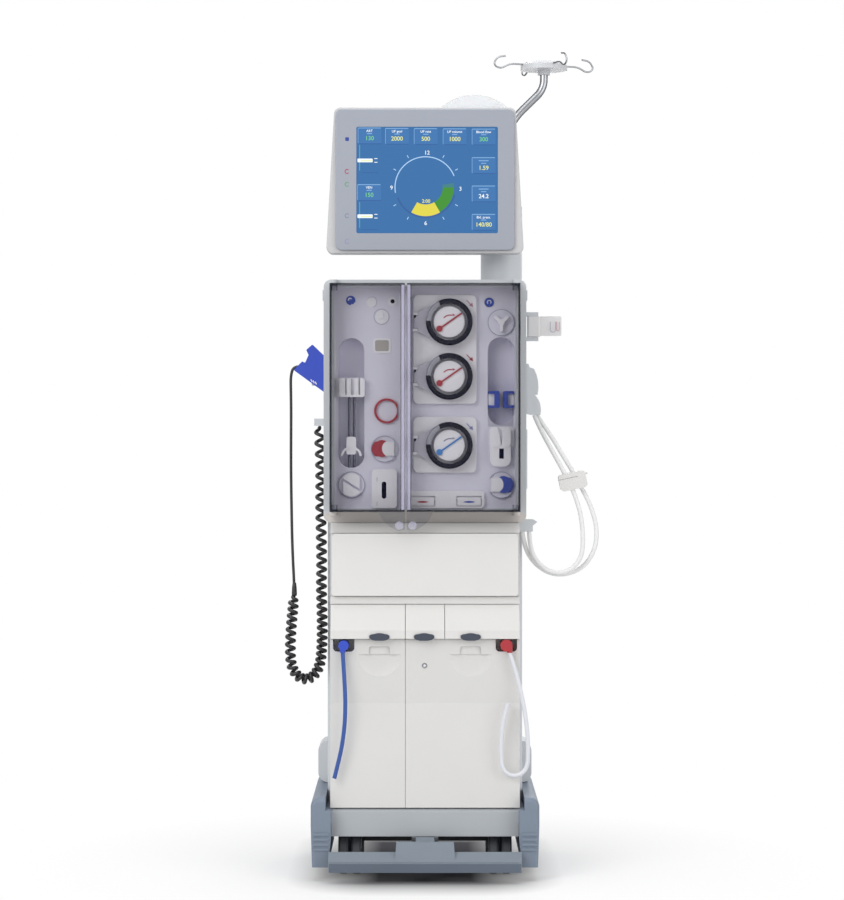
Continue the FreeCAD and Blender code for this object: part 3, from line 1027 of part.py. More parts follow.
def monitor():
    """The monitor's grey bezel, its display glass and the clear status lamp on top."""
    monitor_case()
    half = MONITOR_HALF_WIDTH - BEZEL_MARGIN
    bezel = slab(-half, half, MONITOR_BOTTOM + 7, MONITOR_TOP - 5, MONITOR_FRONT, MONITOR_FRONT + BEZEL_DEPTH, 14)
    bezel = ease_front(bezel, 2, MONITOR_FRONT)
    x0, x1 = SCREEN_X - SCREEN_WIDTH / 2, SCREEN_X + SCREEN_WIDTH / 2
    z0, z1 = SCREEN_Z - SCREEN_HEIGHT / 2, SCREEN_Z + SCREEN_HEIGHT / 2
    back = MONITOR_FRONT + BEZEL_DEPTH
    save("monitor_bezel", bezel.cut(slab(x0, x1, z0, z1, MONITOR_FRONT - 1, back + 1, 4)))
    save("screen_glass", slab(x0, x1, z0, z1, MONITOR_FRONT + SCREEN_SINK, back, 4))
    lamp = front_rod(LAMP_X, MONITOR_TOP - LAMP_DROP, LAMP_RADIUS, LAMP_FRONT, LAMP_FRONT + LAMP_DEPTH)
    lamp = lamp.common(box(LAMP_X - LAMP_RADIUS, LAMP_X + LAMP_RADIUS, LAMP_FRONT, LAMP_FRONT + LAMP_DEPTH,
                           MONITOR_TOP, MONITOR_TOP + LAMP_RADIUS))
    save("status_lamp", lamp)


def hook(angle):
    """One wire hook of the infusion pole, from the cap's rim out to its upturned end."""
    z = POLE_TOP + 8
    outline = [(20, z), (84, z), (106, z - 12), (124, z - 4), (114, z + 14), (94, z + 17)]
    turn = math.radians(angle)
    points = [(POLE_UPPER_X + r * math.cos(turn), POLE_Y + r * math.sin(turn), h) for r, h in outline]
    return tube("hook", points, HOOK_WIRE / 2)


def infusion_pole():
    """The height-adjustable pole with its sideways bend, cap and four wire hooks."""
    points = [V(POLE_X, POLE_Y, POLE_BOTTOM), V(POLE_X, POLE_Y, POLE_BEND_LOW),
              V(POLE_UPPER_X, POLE_Y, POLE_BEND_HIGH), V(POLE_UPPER_X, POLE_Y, POLE_TOP + 2)]
    save("iv_pole", tube("infusion pole", points, POLE_RADIUS))
    bore = POLE_RADIUS + PIN_CLEARANCE
    collar = POLE_RADIUS + SLEEVE_WALL
    cap = turned([(bore, -14), (collar, -14), (collar, -4), (CAP_RADIUS, -3), (CAP_RADIUS, 8),
                  (CAP_RADIUS * 0.6, 16), (0, 19), (0, 2.4), (bore, 2.4)], (POLE_UPPER_X, POLE_Y, POLE_TOP), Z_AXIS)
    save("iv_hooks", joined(cap, *[hook(HOOK_TURN + 90 * quarter) for quarter in range(4)]))


def push_handle():
    """The grey push handle that wraps round the back of the blood module."""
    x = MODULE_HALF_WIDTH + HANDLE_STANDOFF
    low, high = HANDLE_Z - HANDLE_HALF_HEIGHT, HANDLE_Z + HANDLE_HALF_HEIGHT
    front = RIM_BACK + 5
    grip_y = MODULE_REAR + 40
    outer = box(-x, x, front, grip_y + 22, low, high)
    outer = soften(outer, 50, Z_AXIS, lambda p: p.y > 0)
    inner_x = x - HANDLE_THICKNESS
    inner = box(-inner_x, inner_x, front - 1, grip_y, low - 1, high + 1)
    bar = outer.cut(soften(inner, 32, Z_AXIS, lambda p: p.y > 0))
    for side in (-1, 1):
        x0, x1 = sorted((side * MODULE_HALF_WIDTH, side * (inner_x + 1)))
        for y0, y1 in ((front, front + 60), (MODULE_REAR - 70, MODULE_REAR - 40)):
            bar = bar.fuse(box(x0, x1, y0, y1, low, high))
    save("push_handle", bar.removeSplitter())


def rear_cover():
    """The rear cover with its air slots, the two hose nipples and the power inlet."""
    y0 = SHELL_REAR
    y1 = y0 + COVER_THICKNESS
    plate = soften(box(-COVER_HALF_WIDTH, COVER_HALF_WIDTH, y0, y1, COVER_LOW, COVER_HIGH), 14, Y_AXIS)
    for row in range(7):
        low = COVER_HIGH - 185 + 16 * row
        plate = plate.cut(slab(-90, 90, low, low + 6, y0 + 4, y1 + 1, 2.9))
    for x in NIPPLE_PLACES:
        plate = plate.fuse(rod(NIPPLE_RADIUS, (x, y1 - 1, NIPPLE_Z), (x, y0 + NIPPLE_REACH, NIPPLE_Z)))
        plate = plate.fuse(rod(NIPPLE_RADIUS + 7, (x, y1 - 1, NIPPLE_Z), (x, y1 + 8, NIPPLE_Z)))
    inlet = slab(INLET_X - 25, INLET_X + 25, NIPPLE_Z - 18, NIPPLE_Z + 16, y1 - 1, y1 + 8, 5)
    inlet = inlet.cut(slab(INLET_X - 17, INLET_X + 17, NIPPLE_Z - 12, NIPPLE_Z + 10, y1 + 1, y1 + 9, 4))
    save("rear_cover", joined(plate, inlet))


def hose_block():
    """The D-shaped grey block and white elbow where the two hoses leave, and the lower outlet."""
    x0 = MODULE_HALF_WIDTH
    y0, y1 = RIM_BACK + 2, RIM_BACK + 27
    block = curved_form((x0, 1044), [(x0 + 41, 1044), ((x0 + 42, 1074), (x0 + 33, 1101)), (x0 + 24, 1104),
                                     (x0 + 21, 1112), (x0, 1112)], y0, y1)
    elbow = curved_form((x0 + 4, 1044), [(x0 + 4, 1006), (x0 + 25, 1000), (x0 + 47, 1000),
                                         ((x0 + 46, 1026), (x0 + 35, 1044))], y0, y1)
    outlet_x = CABINET_HALF_WIDTH + RUN_CLEARANCE
    neck_x = outlet_x + 31.4
    outlet = curved_form((outlet_x, 745), [(neck_x, 745), (neck_x, 758), (neck_x + 10, 766), (neck_x, SHELL_TOP),
                                           (outlet_x, SHELL_TOP)], RIM_BACK + 4, SHELL_FRONT - 0.3)
    save("hose_block", joined(block, elbow), outlet)


def dialyser_lugs():
    """The fixed lugs that hold the dialyser arm's pin."""
    lugs = []
    for low in (ARM_LOW - ARM_LUG, ARM_HIGH):
        lug = box(MODULE_HALF_WIDTH - 1, ARM_AXIS_X + 10, ARM_AXIS_Y - 10, ARM_AXIS_Y + 10, low, low + ARM_LUG)
        bore = rod(ARM_PIN_RADIUS + PIN_CLEARANCE, (ARM_AXIS_X, ARM_AXIS_Y, low - 1),
                   (ARM_AXIS_X, ARM_AXIS_Y, low + ARM_LUG + 1))
        lugs.append(lug.cut(bore))
    return lugs


def dialyser_arm():
    """The swinging holder for the dialyser: pivot block, flat plate and the spring clip behind it."""
    half = ARM_BLOCK_HALF
    low, high = ARM_LOW + RUN_CLEARANCE, ARM_HIGH - RUN_CLEARANCE
    block = box(ARM_AXIS_X - half, ARM_AXIS_X + half, ARM_AXIS_Y - half, ARM_AXIS_Y + half, low, high)
    block = soften(block, 4, Z_AXIS)
    pin = rod(ARM_PIN_RADIUS, (ARM_AXIS_X, ARM_AXIS_Y, ARM_LOW - ARM_LUG), (ARM_AXIS_X, ARM_AXIS_Y, ARM_HIGH + ARM_LUG))
    plate_y = CLIP_CENTRE_Y - CLIP_OUTER - 5
    plate = slab(ARM_AXIS_X + half - 1, ARM_PLATE_END, ARM_LOW + 2, ARM_HIGH, plate_y, plate_y + 6, 3)
    x, y = CLIP_CENTRE_X, CLIP_CENTRE_Y
    clip = rod(CLIP_OUTER, (x, y, ARM_LOW + 9), (x, y, ARM_HIGH - 9))
    clip = clip.cut(rod(CLIP_INNER, (x, y, ARM_LOW), (x, y, ARM_HIGH)))
    clip = clip.cut(box(x - 13, x + 13, y + 5, y + CLIP_OUTER + 5, ARM_LOW, ARM_HIGH))
    save("dialyser_arm", joined(block, pin, plate, clip))


def sensor_head():
    """The blue clamp-on sensor in its holder at the left side, bored for its lead."""
    outline = [(-287, 1098), (-268, 1117.6), (-262.5, 1113), (-254.4, 1131), (-259.6, 1142), (-246, 1154),
               (-221, 1130), (-221, 1050)]
    head = soften(front_form(outline, SENSOR_BACK - SENSOR_DEPTH, SENSOR_BACK), 2.5, Y_AXIS,
                  lambda p: p.x < -240)
    save("sensor_head", head.cut(tube("lead bore", SENSOR_LEAD, LEAD_RADIUS - 0.05)))


def wands():
    """The two disinfection wands in their notches."""
    wand_back = CARCASS_FRONT - 2
    for name, side, radius, out in (("blue", -1, BLUE_WAND_RADIUS, BLUE_SPIGOT_OUT),
                                    ("red", 1, RED_WAND_RADIUS, RED_SPIGOT_OUT)):
        x = side * NOTCH_CENTRE
        foot = x + side * out
        grip = rod(radius, (x, WAND_FRONT, WAND_Z), (x, wand_back, WAND_Z))
        tip = rod(WAND_TIP_RADIUS, (x, wand_back - 1, WAND_Z), (x, wand_back + 60, WAND_Z))
        spigot = rod(SPIGOT_RADIUS, (foot, SPIGOT_Y, WAND_Z), (foot, SPIGOT_Y, SPIGOT_LOW))
        save(name + "_wand", joined(grip, tip, spigot))


def hose_clip():
    """The clip that holds the two hoses side by side, with its small lever."""
    x, z = HOSE_CLIP
    clip = slab(x - 30, x + 30, z - 19, z + 19, -112, -81, 9)
    clip = clip.cut(slab(x - 32, x + 12, z + 7, z + 8.5, -113, -110))
    lever = slab(x + 28, x + 35, z + 8, z + 12, -102, -92, 1.5)
    clip = joined(clip, lever)
    clip.rotate(V(x, 0, z), Y_AXIS, -12)
    for route in (HOSE_INNER, HOSE_OUTER):
        clip = clip.cut(tube("clip bore", route, HOSE_RADIUS + PIN_CLEARANCE))
    save("hose_clip", clip)


def cords():
    """The hoses, the two wand tubes, and the sensor's lead and coil."""
    save("blue_tube", tube("blue tube", BLUE_TUBE, BLUE_TUBE_RADIUS))
    save("white_tube", tube("white tube", WHITE_TUBE, WHITE_TUBE_RADIUS))
    save("hose_inner", tube("inner hose", HOSE_INNER, HOSE_RADIUS))
    save("hose_outer", tube("outer hose", HOSE_OUTER, HOSE_RADIUS))
    save("sensor_lead", tube("sensor lead", SENSOR_LEAD, LEAD_RADIUS))
    save("sensor_coil", tube("sensor coil", SENSOR_COIL, COIL_RADIUS))


def main():
    """Build every piece."""
    os.makedirs("parts", exist_ok=True)
    for build in (chassis, base_skirt, side_fenders, brake_pedal, castors, cabinet_shell, cabinet_fascia,
                  lower_panels, filter_flap, hoods, module_housing, doors, left_module_panel, pump_panel, pumps,
                  knobs, syringe_driver, line_clamps, ports, level_detector, monitor_post, monitor_yoke, monitor,
                  infusion_pole, push_handle, rear_cover, hose_block, dialyser_arm, sensor_head, wands, hose_clip,
                  cords):
        build()


main()
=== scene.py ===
"""The looks of a haemodialysis machine on castors: its finishes, display, printed marks and hoses."""

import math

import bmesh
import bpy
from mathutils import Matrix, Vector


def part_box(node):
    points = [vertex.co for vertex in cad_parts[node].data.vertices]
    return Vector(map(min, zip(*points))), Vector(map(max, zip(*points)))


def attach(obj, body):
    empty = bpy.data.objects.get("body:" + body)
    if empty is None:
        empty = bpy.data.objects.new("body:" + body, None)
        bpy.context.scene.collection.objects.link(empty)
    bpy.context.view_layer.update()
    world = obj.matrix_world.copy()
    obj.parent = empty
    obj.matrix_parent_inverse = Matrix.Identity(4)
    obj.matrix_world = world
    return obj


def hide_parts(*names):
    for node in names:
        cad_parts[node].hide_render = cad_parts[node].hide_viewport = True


bl_info = {
    "name": "Dialysis machine finish",
    "version": (1, 0, 0),
    "blender": (4, 5, 0),
    "location": "View3D > Sidebar > Dialysis",
    "description": "Dresses the machine's frame with finishes, display, marks, hoses and a studio",
    "category": "Object",
}

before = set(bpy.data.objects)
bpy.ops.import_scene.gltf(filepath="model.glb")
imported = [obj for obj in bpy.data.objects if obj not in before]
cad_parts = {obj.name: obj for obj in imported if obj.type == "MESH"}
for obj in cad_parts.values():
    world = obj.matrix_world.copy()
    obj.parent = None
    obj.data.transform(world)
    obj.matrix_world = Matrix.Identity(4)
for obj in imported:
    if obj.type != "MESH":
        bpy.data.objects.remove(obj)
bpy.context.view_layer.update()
MM = 0.001
ZONE = "Dialysis"
SMOOTH_ANGLE = math.radians(32)

# Fronts of the faces that carry marks, in millimetres
PANEL_FRONT = -128.0
RAISED_FRONT = -140.0
COVER_FRONT = -153.5
ROTOR_FRONT = -156.0
DISPLAY_FRONT = -147.5
BEZEL_FRONT = -150.0
DOOR_FRONT = -200.0
HOOD_FRONT = -210.0
MARK_RISE = 0.25

# Centres of the controls as seen from the front, (x, z) in millimetres
PUMP_X = 52.6
PUMP_HEIGHTS = {"top": 1201.5, "middle": 1083.5, "bottom": 934.0}
ARTERIAL_CLAMP = (-88.5, 925.9)
VENOUS_CLAMP = (165.5, 847.7)
PRESSURE_KNOB = (-159.6, 847.7)
PORT_KNOB = (165.5, 1201.0)
SMALL_KNOB = (-94.6, 1213.7)
SMALL_RING = (-115.7, 1246.0)
DARK_DOT = (-70.6, 1247.0)
BLUE_BUTTON = (-161.4, 1249.0)
RED_RING = (-83.3, 1008.6)
LOCK = (-1.0, 460.0)
DIAL = (1.4, 1493.5)
HOODS = (("left_hood", -98.0), ("centre_hood", -2.0), ("right_hood", 98.0))


def linear(code):
    """The linear colour of an sRGB hex value."""
    parts = [int(code[i:i + 2], 16) / 255 for i in (1, 3, 5)]
    return tuple(c / 12.92 if c <= 0.04045 else ((c + 0.055) / 1.055) ** 2.4 for c in parts)


def colour(label, description, code):
    """A colour that a user can change."""
    return bpy.props.FloatVectorProperty(name=label, description=description, subtype="COLOR", size=3,
                                         min=0, max=1, default=linear(code))


def length(label, description, default):
    """A length that a user can change."""
    return bpy.props.FloatProperty(name=label, description=description, default=default, unit="LENGTH")


class MachineColours(bpy.types.PropertyGroup):
    """Colours of the moulded parts."""

    cabinet: colour("Cabinet", "Front of the lower cabinet", "#D6D5D3")
    casing: colour("Casing", "Side strips, post and module casing", "#C9CDD1")
    panel: colour("Panels", "Panels behind the doors", "#E0DEEC")
    tint: colour("Door tint", "Clear doors over the blood module", "#2B2B52")
    door_edge: colour("Door edge", "Door walls seen end on", "#1E1C2C")
    bezel: colour("Bezel", "Frame round the display", "#969BA6")
    fender: colour("Fenders", "Bumpers beside the castors", "#7A8696")
    skirt: colour("Skirt", "Band above the castors", "#AEB3B8")
    pedal: colour("Pedal", "Brake pedal across the front", "#7D8792")
    grip: colour("Grips", "Dark grips of the hoods", "#3B424F")
    arterial: colour("Arterial", "Red parts on the blood side", "#A8242E")
    venous: colour("Venous", "Blue parts on the return side", "#1C3FA8")
    display: colour("Display", "Ground of the lit display", "#366EA7")


class MachineSizes(bpy.types.PropertyGroup):
    """Sizes of the pieces added here."""

    hose: length("Hose", "Outer diameter of the two side hoses", 10 * MM)
    coil: length("Coil", "Outer diameter of the curly sensor lead", 25.4 * MM)
    lead: length("Lead", "Thickness of the sensor lead", 6.2 * MM)
    coil_wire: length("Coil wire", "Thickness of the curly length's wire", 8 * MM)
    camera_distance: length("Camera distance", "From the machine's middle", 6.2)


def colours():
    """The colour settings."""
    return bpy.context.scene.machine_colours


def sizes():
    """The size settings."""
    return bpy.context.scene.machine_sizes


def add_node(tree, kind, values=None, links=None, **settings):
    """Add a node with its settings, its input values and its links."""
    node = tree.nodes.new(kind)
    for name, value in settings.items():
        setattr(node, name, value)
    for name, value in (values or {}).items():
        node.inputs[name].default_value = value
    for name, socket in (links or {}).items():
        tree.links.new(socket, node.inputs[name])
    return node


def rgba(value, share=1.0):
    """A share of a colour with full alpha, from a hex value or from three numbers."""
    parts = linear(value) if isinstance(value, str) else value[:3]
    return (*(c * share for c in parts), 1.0)


def places(tree):
    """The places on the piece itself, which its textures follow."""
    return add_node(tree, "ShaderNodeTexCoord").outputs["Object"]


def noise(tree, scale, detail=2.0):
    """A noise over the piece."""
    return add_node(tree, "ShaderNodeTexNoise", {"Scale": scale, "Detail": detail},
                    {"Vector": places(tree)}).outputs["Fac"]


def spread(tree, value, low, high, start=0.0, end=1.0):
    """A value from low to high, as another goes from start to end."""
    ends = {"From Min": start, "From Max": end, "To Min": low, "To Max": high}
    return add_node(tree, "ShaderNodeMapRange", ends, {"Value": value}).outputs["Result"]


def blended(tree, factor, low, high):
    """A colour between two others."""
    mix = add_node(tree, "ShaderNodeMix", {6: low, 7: high}, {"Factor": factor}, data_type="RGBA")
    return mix.outputs[2]


def combined(tree, operation, first, second):
    """Two values taken together."""
    return add_node(tree, "ShaderNodeMath", {}, {0: first, 1: second}, operation=operation).outputs[0]


def shaded(name, build):
    """The material of a name, made the first time from the shader that build adds to its tree."""
    if name in bpy.data.materials:
        return bpy.data.materials[name]
    material = bpy.data.materials.new(name)
    material.use_nodes = True
    tree = material.node_tree
    tree.nodes.clear()
    output = add_node(tree, "ShaderNodeOutputMaterial")
    tree.links.new(build(tree).outputs[0], output.inputs["Surface"])
    return material


def finish(name, base, roughness=0.45, metallic=0.0, grain_mm=0.9, relief=0.04, mottle=0.05, ior=1.49,
           specular=0.5):
    """A solid finish: a slow colour drift, roughness that follows it and a fine surface grain."""

    def build(tree):
        drift = noise(tree, 9.0, 4.0)
        bump = add_node(tree, "ShaderNodeBump", {"Strength": relief * 5, "Distance": 0.1 * MM},
                        {"Height": noise(tree, 1 / (grain_mm * MM))})
        surface = {} if metallic else {"IOR": ior, "Specular IOR Level": specular}
        return add_node(tree, "ShaderNodeBsdfPrincipled", {"Metallic": metallic, **surface},
                        {"Base Color": blended(tree, drift, rgba(base, 1 - mottle), rgba(base)),
                         "Roughness": spread(tree, drift, roughness - 0.05, roughness + 0.07),
                         "Normal": bump.outputs["Normal"]})
    return shaded(name, build)


def cabinet_abs():
    """Moulded ABS, spark-eroded mould: warm white with a soft satin sheen."""
    return finish("cabinet_moulded_abs", colours().cabinet, 0.42, ior=1.53)


def casing_abs():
    """Moulded ABS with a fine leather-like grain: cool light grey, slightly duller."""
    return finish("casing_moulded_abs", colours().casing, 0.48, ior=1.53)


def panel_pc():
    """Moulded polycarbonate blend: smooth and pale, wiped clean every day."""
    return finish("panel_moulded_polycarbonate", colours().panel, 0.36, relief=0.02, ior=1.58)


def white_pc():
    """Polished white polycarbonate: the brighter inserts of the pumps and clamps."""
    return finish("insert_polished_polycarbonate", "#F0EEF4", 0.25, relief=0.01, mottle=0.03, ior=1.58)


def window_pc():
    """Smoked clear polycarbonate of the small window, taken as solid."""
    return finish("window_smoked_polycarbonate", "#AFABA4", 0.2, relief=0.01, ior=1.58)


def channel_pc_painted_shade():
    """The syringe channel's moulding, with painted shade: darker and greyer than the panel where its lower
    half lies in shade.
    """
    return finish("channel_moulded_polycarbonate", "#D2D0DC", 0.4, relief=0.02, ior=1.58)


def monitor_abs():
    """Moulded ABS of the monitor's case, a cool pale grey."""
    return finish("monitor_moulded_abs", "#BFBFC1", 0.45, ior=1.53)


def bezel_abs():
    """Painted ABS: grey-blue with a fine dry spray grain."""
    return finish("bezel_painted_abs", colours().bezel, 0.4, ior=1.53)


def fender_pu():
    """Moulded polyurethane bumper: tough, dull and faintly scuffed."""
    return finish("fender_moulded_polyurethane", colours().fender, 0.55, relief=0.08, mottle=0.12)


def skirt_abs():
    """Moulded ABS skirt near the floor: light grey, dulled by cleaning."""
    return finish("skirt_moulded_abs", colours().skirt, 0.5, mottle=0.08, ior=1.53)


def pedal_paint():
    """Powder-coated steel: a slight orange-peel surface worn by shoes."""
    return finish("pedal_powder_coat", colours().pedal, 0.45, grain_mm=1.6, relief=0.1, mottle=0.14)


def pedal_lip_painted_shade():
    """Powder coat of the pedal's upright lip, with painted shade: darker than its tread, which faces the
    light.
    """
    return finish("pedal_lip_powder_coat", "#5D6876", 0.45, grain_mm=1.6, relief=0.1, mottle=0.14)


def steel_paint():
    """Painted steel under the machine: dark and dull."""
    return finish("chassis_painted_steel", "#4A4C50", 0.5, grain_mm=1.4, relief=0.08, mottle=0.12)


def grip_tpe():
    """Overmoulded thermoplastic rubber: dark, soft and almost without gloss."""
    return finish("grip_moulded_tpe", colours().grip, 0.62, relief=0.08)


def ring_pc():
    """Polished black polycarbonate: deep gloss with sharp highlights."""
    return finish("ring_polished_polycarbonate", "#0C0C10", 0.22, relief=0.005, mottle=0.1, ior=1.58,
                  specular=0.22)


def cap_abs():
    """Moulded ABS of the pole's cap, pale grey so that it parts from the ground."""
    return finish("cap_moulded_abs", "#C6C8CB", 0.45, ior=1.53)


def holder_abs():
    """Injection-moulded ABS of the dialyser's holder, warmer and paler than the casing."""
    return finish("holder_injected_abs", "#D8D7D8", 0.45, ior=1.53)


def bracket_pc():
    """Grey translucent polycarbonate of the cover's bracket, taken as solid."""
    return finish("bracket_moulded_polycarbonate", "#9C9CA6", 0.2, relief=0.01, mottle=0.1, ior=1.58)


def neck_pc():
    """Clear-grey polycarbonate of the pump covers' necks, pale over the white plates."""
    return finish("neck_moulded_polycarbonate", "#C2C0CC", 0.22, relief=0.01, mottle=0.1, ior=1.58)


def recess_pc_painted_shade():
    """The panel's polycarbonate darkened as painted shade, as it looks in the shade of the catcher's
    recess.
    """
    return finish("recess_moulded_polycarbonate", "#C4C2D0", 0.4, relief=0.02, ior=1.58)


def arterial_pc():
    """Red dyed polycarbonate, polished."""
    return finish("arterial_dyed_polycarbonate", colours().arterial, 0.28, relief=0.01, ior=1.58)


def venous_pc():
    """Blue dyed polycarbonate, polished."""
    return finish("venous_dyed_polycarbonate", colours().venous, 0.28, relief=0.01, ior=1.58)


def black_ink():
    """Matt black screen ink or the dark inside of a slot."""
    return finish("slot_screen_ink", "#0E0F14", 0.6, relief=0.01, specular=0.15)


def coloured_ink(name, code):
    """Matt screen ink."""
    return finish(name, code, 0.6, relief=0.01)


def grey_ink():
    """Grey screen ink of lines and small marks."""
    return coloured_ink("line_screen_ink", "#8E90A4")


def pale_red_ink():
    """Pale red screen ink of the holder's bracket and the top pump's flow arrow."""
    return coloured_ink("arrow_ink_pale_red", "#B98794")


def rod_steel_painted_shade():
    """Ground steel of the syringe pump's guide rods, darkened as painted shade, as they look in the
    channel's shade.
    """
    return finish("rod_ground_steel", "#6C6D74", 0.3, metallic=1.0, relief=0.01)


def tread_pu():
    """Cast polyurethane tread: mid grey and matt, with floor dust."""
    return finish("tread_cast_polyurethane", "#56585E", 0.6, relief=0.1, mottle=0.2)


def blue_abs():
    """Blue moulded ABS of the sensor and the concentrate connector."""
    return finish("connector_moulded_abs", "#2A48BC", 0.38, ior=1.53)


def tube_silicone(name, code):
    """Extruded silicone tubing: smooth, milky and a little soft in its gloss."""
    return finish(name, code, 0.3, relief=0.01, mottle=0.06, ior=1.43)


def lead_pvc():
    """Extruded black PVC: satin, with a soft line of light on each turn."""
    return finish("lead_extruded_pvc", "#1E1E22", 0.4, relief=0.02, ior=1.53)


def pointer_pc():
    """Light blue polycarbonate of the lowest pump's pointer."""
    return finish("pointer_dyed_polycarbonate", "#3E84CC", 0.28, relief=0.01, ior=1.58)


def underside_painted_shade_and_bounce():
    """The casing's ABS where it turns under, with painted shade and a painted warm light thrown up by the
    cabinet below it.
    """
    return finish("underside_moulded_abs", "#CBC6C2", 0.5, ior=1.53)


def chrome():
    """Chromed steel tube with painted reflection: bright bands with dark ones between in its colour, by how
    squarely a face is seen, as a round bar mirrors a white room.
    """
    reflection_stops = ((0.0, "#8E9094"), (0.2, "#A3A5A8"), (0.42, "#4A4C50"), (0.7, "#6A6C70"), (1.0, "#A4A6A9"))

    def build(tree):
        # Painted reflection: the colour runs through the light and dark bands of a mirrored white room, by
        # how squarely a face is seen
        facing = add_node(tree, "ShaderNodeLayerWeight", {"Blend": 0.5}).outputs["Facing"]
        painted_reflection = add_node(tree, "ShaderNodeValToRGB", {}, {"Fac": facing})
        elements = painted_reflection.color_ramp.elements
        for stop, (where, code) in enumerate(reflection_stops):
            element = elements[stop] if stop < 2 else elements.new(where)
            element.position = where
            element.color = rgba(code)
        return add_node(tree, "ShaderNodeBsdfPrincipled", {"Metallic": 1.0},
                        {"Base Color": painted_reflection.outputs["Color"],
                         "Roughness": spread(tree, noise(tree, 500.0), 0.16, 0.3)})
    return shaded("pole_chromed_steel", build)


def door_acrylic():
    """Tinted acrylic sheet: clear face on, dark where a wall is seen end on."""

    def build(tree):
        facing = add_node(tree, "ShaderNodeLayerWeight", {"Blend": 0.35}).outputs["Facing"]
        tint = blended(tree, facing, rgba(colours().tint), rgba(colours().door_edge))
        return add_node(tree, "ShaderNodeBsdfPrincipled",
                        {"Roughness": 0.08, "IOR": 1.49, "Specular IOR Level": 0.12},
                        {"Base Color": tint, "Alpha": spread(tree, facing, 0.08, 0.85, 0.15, 0.8)})
    return shaded("door_tinted_acrylic", build)


def hazed_acrylic(name, base, roughness, specular, clearest, densest):
    """Acrylic that lets a little light through, in slow drifts."""

    def build(tree):
        return add_node(tree, "ShaderNodeBsdfPrincipled",
                        {"Base Color": rgba(base), "Roughness": roughness, "IOR": 1.49,
                         "Specular IOR Level": specular},
                        {"Alpha": spread(tree, noise(tree, 40.0), clearest, densest)})
    return shaded(name, build)


def door_rim():
    """Tinted acrylic seen along the sheet: the doors' outer walls."""
    return hazed_acrylic("door_rim_acrylic", colours().door_edge, 0.12, 0.1, 0.78, 0.9)


def door_strip():
    """Frosted acrylic of the doors' meeting edges and ear pads."""
    return hazed_acrylic("door_strip_acrylic", "#C2C0DA", 0.3, 0.5, 0.34, 0.46)


def lamp_pc():
    """Frosted clear polycarbonate of the status lamp, unlit."""

    def build(tree):
        return add_node(tree, "ShaderNodeBsdfPrincipled",
                        {"Base Color": rgba("#E3E6EA"), "IOR": 1.58, "Alpha": 0.55,
                         "Subsurface Weight": 0.1},
                        {"Roughness": spread(tree, noise(tree, 600.0), 0.3, 0.5)})
    return shaded("lamp_frosted_polycarbonate", build)


# Lights of the display: colour and strength
DISPLAY_LIGHTS = {
    "edge": ("#86B4E2", 0.75), "shade": ("#335F9C", 0.75), "box": ("#3E75B0", 0.75),
    "column": ("#5AA0B4", 0.75), "yellow": ("#DDE08A", 0.9), "green_figures": ("#74C67C", 0.9),
    "white": ("#E6EEF2", 0.9), "ring": ("#A9CBEE", 0.85), "green": ("#3F9030", 0.75),
    "green_fade": ("#3F7F86", 0.75), "sector": ("#D9CE49", 0.85)}


def lit(light):
    """Light from the liquid-crystal display behind its glass."""
    base, strength = DISPLAY_LIGHTS[light] if light in DISPLAY_LIGHTS else (colours().display, 0.75)

    def build(tree):
        glow = blended(tree, noise(tree, 4.0, 1.0), rgba(base, 0.93), rgba(base))
        return add_node(tree, "ShaderNodeBsdfPrincipled",
                        {"Base Color": rgba(base, 0.25), "Roughness": 0.25, "Specular IOR Level": 0.3,
                         "Emission Strength": strength}, {"Emission Color": glow})
    return shaded("display_" + light, build)


def reach(place, centre):
    """How far a place lies from a centre, seen from the front."""
    return math.hypot(place.x - centre[0], place.z - centre[1])


def dress(node, *materials, pick=None):
    """Give a CAD node its finishes. pick says which one a face at a place, in millimetres, gets."""
    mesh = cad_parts[node].data
    mesh.materials.clear()
    for material in materials:
        mesh.materials.append(material)
    for face in mesh.polygons:
        face.use_smooth = True
        face.material_index = int(pick(face.center / MM, face.normal)) if pick else 0
    mesh.set_sharp_from_angle(angle=SMOOTH_ANGLE)


def link_piece(name, data, material, body, slot, **pose):
    """Add a piece from finished data that rides on a body and takes the given finish."""
    data.materials.append(material)
    piece = bpy.data.objects.new(name, data)
    for setting, value in pose.items():
        setattr(piece, setting, value)
    bpy.context.scene.collection.objects.link(piece)
    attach(piece, body)
    return piece


def mesh_of(form, name):
    """The mesh of a finished form."""
    mesh = bpy.data.meshes.new(name)
    form.to_mesh(mesh)
    form.free()
    return mesh


def flat_form(name, outline, front, thickness, material, body, slot):
    """A thin form from an outline of (x, z) in millimetres, its front face towards the viewer."""
    form = bmesh.new()
    face = form.faces.new([form.verts.new((x * MM, front * MM, z * MM)) for x, z in outline])
    grown = bmesh.ops.extrude_face_region(form, geom=[face])
    moved = [item for item in grown["geom"] if isinstance(item, bmesh.types.BMVert)]
    bmesh.ops.translate(form, verts=moved, vec=(0, thickness * MM, 0))
    bmesh.ops.recalc_face_normals(form, faces=form.faces)
    return link_piece(name, mesh_of(form, name), material, body, slot)


def printed(name, outline, ink, front=PANEL_FRONT, body="machine", slot="panel", rise=MARK_RISE):
    """A mark that stands a little proud of the face at front."""
    return flat_form(name, outline, front - rise, rise, ink, body, slot)


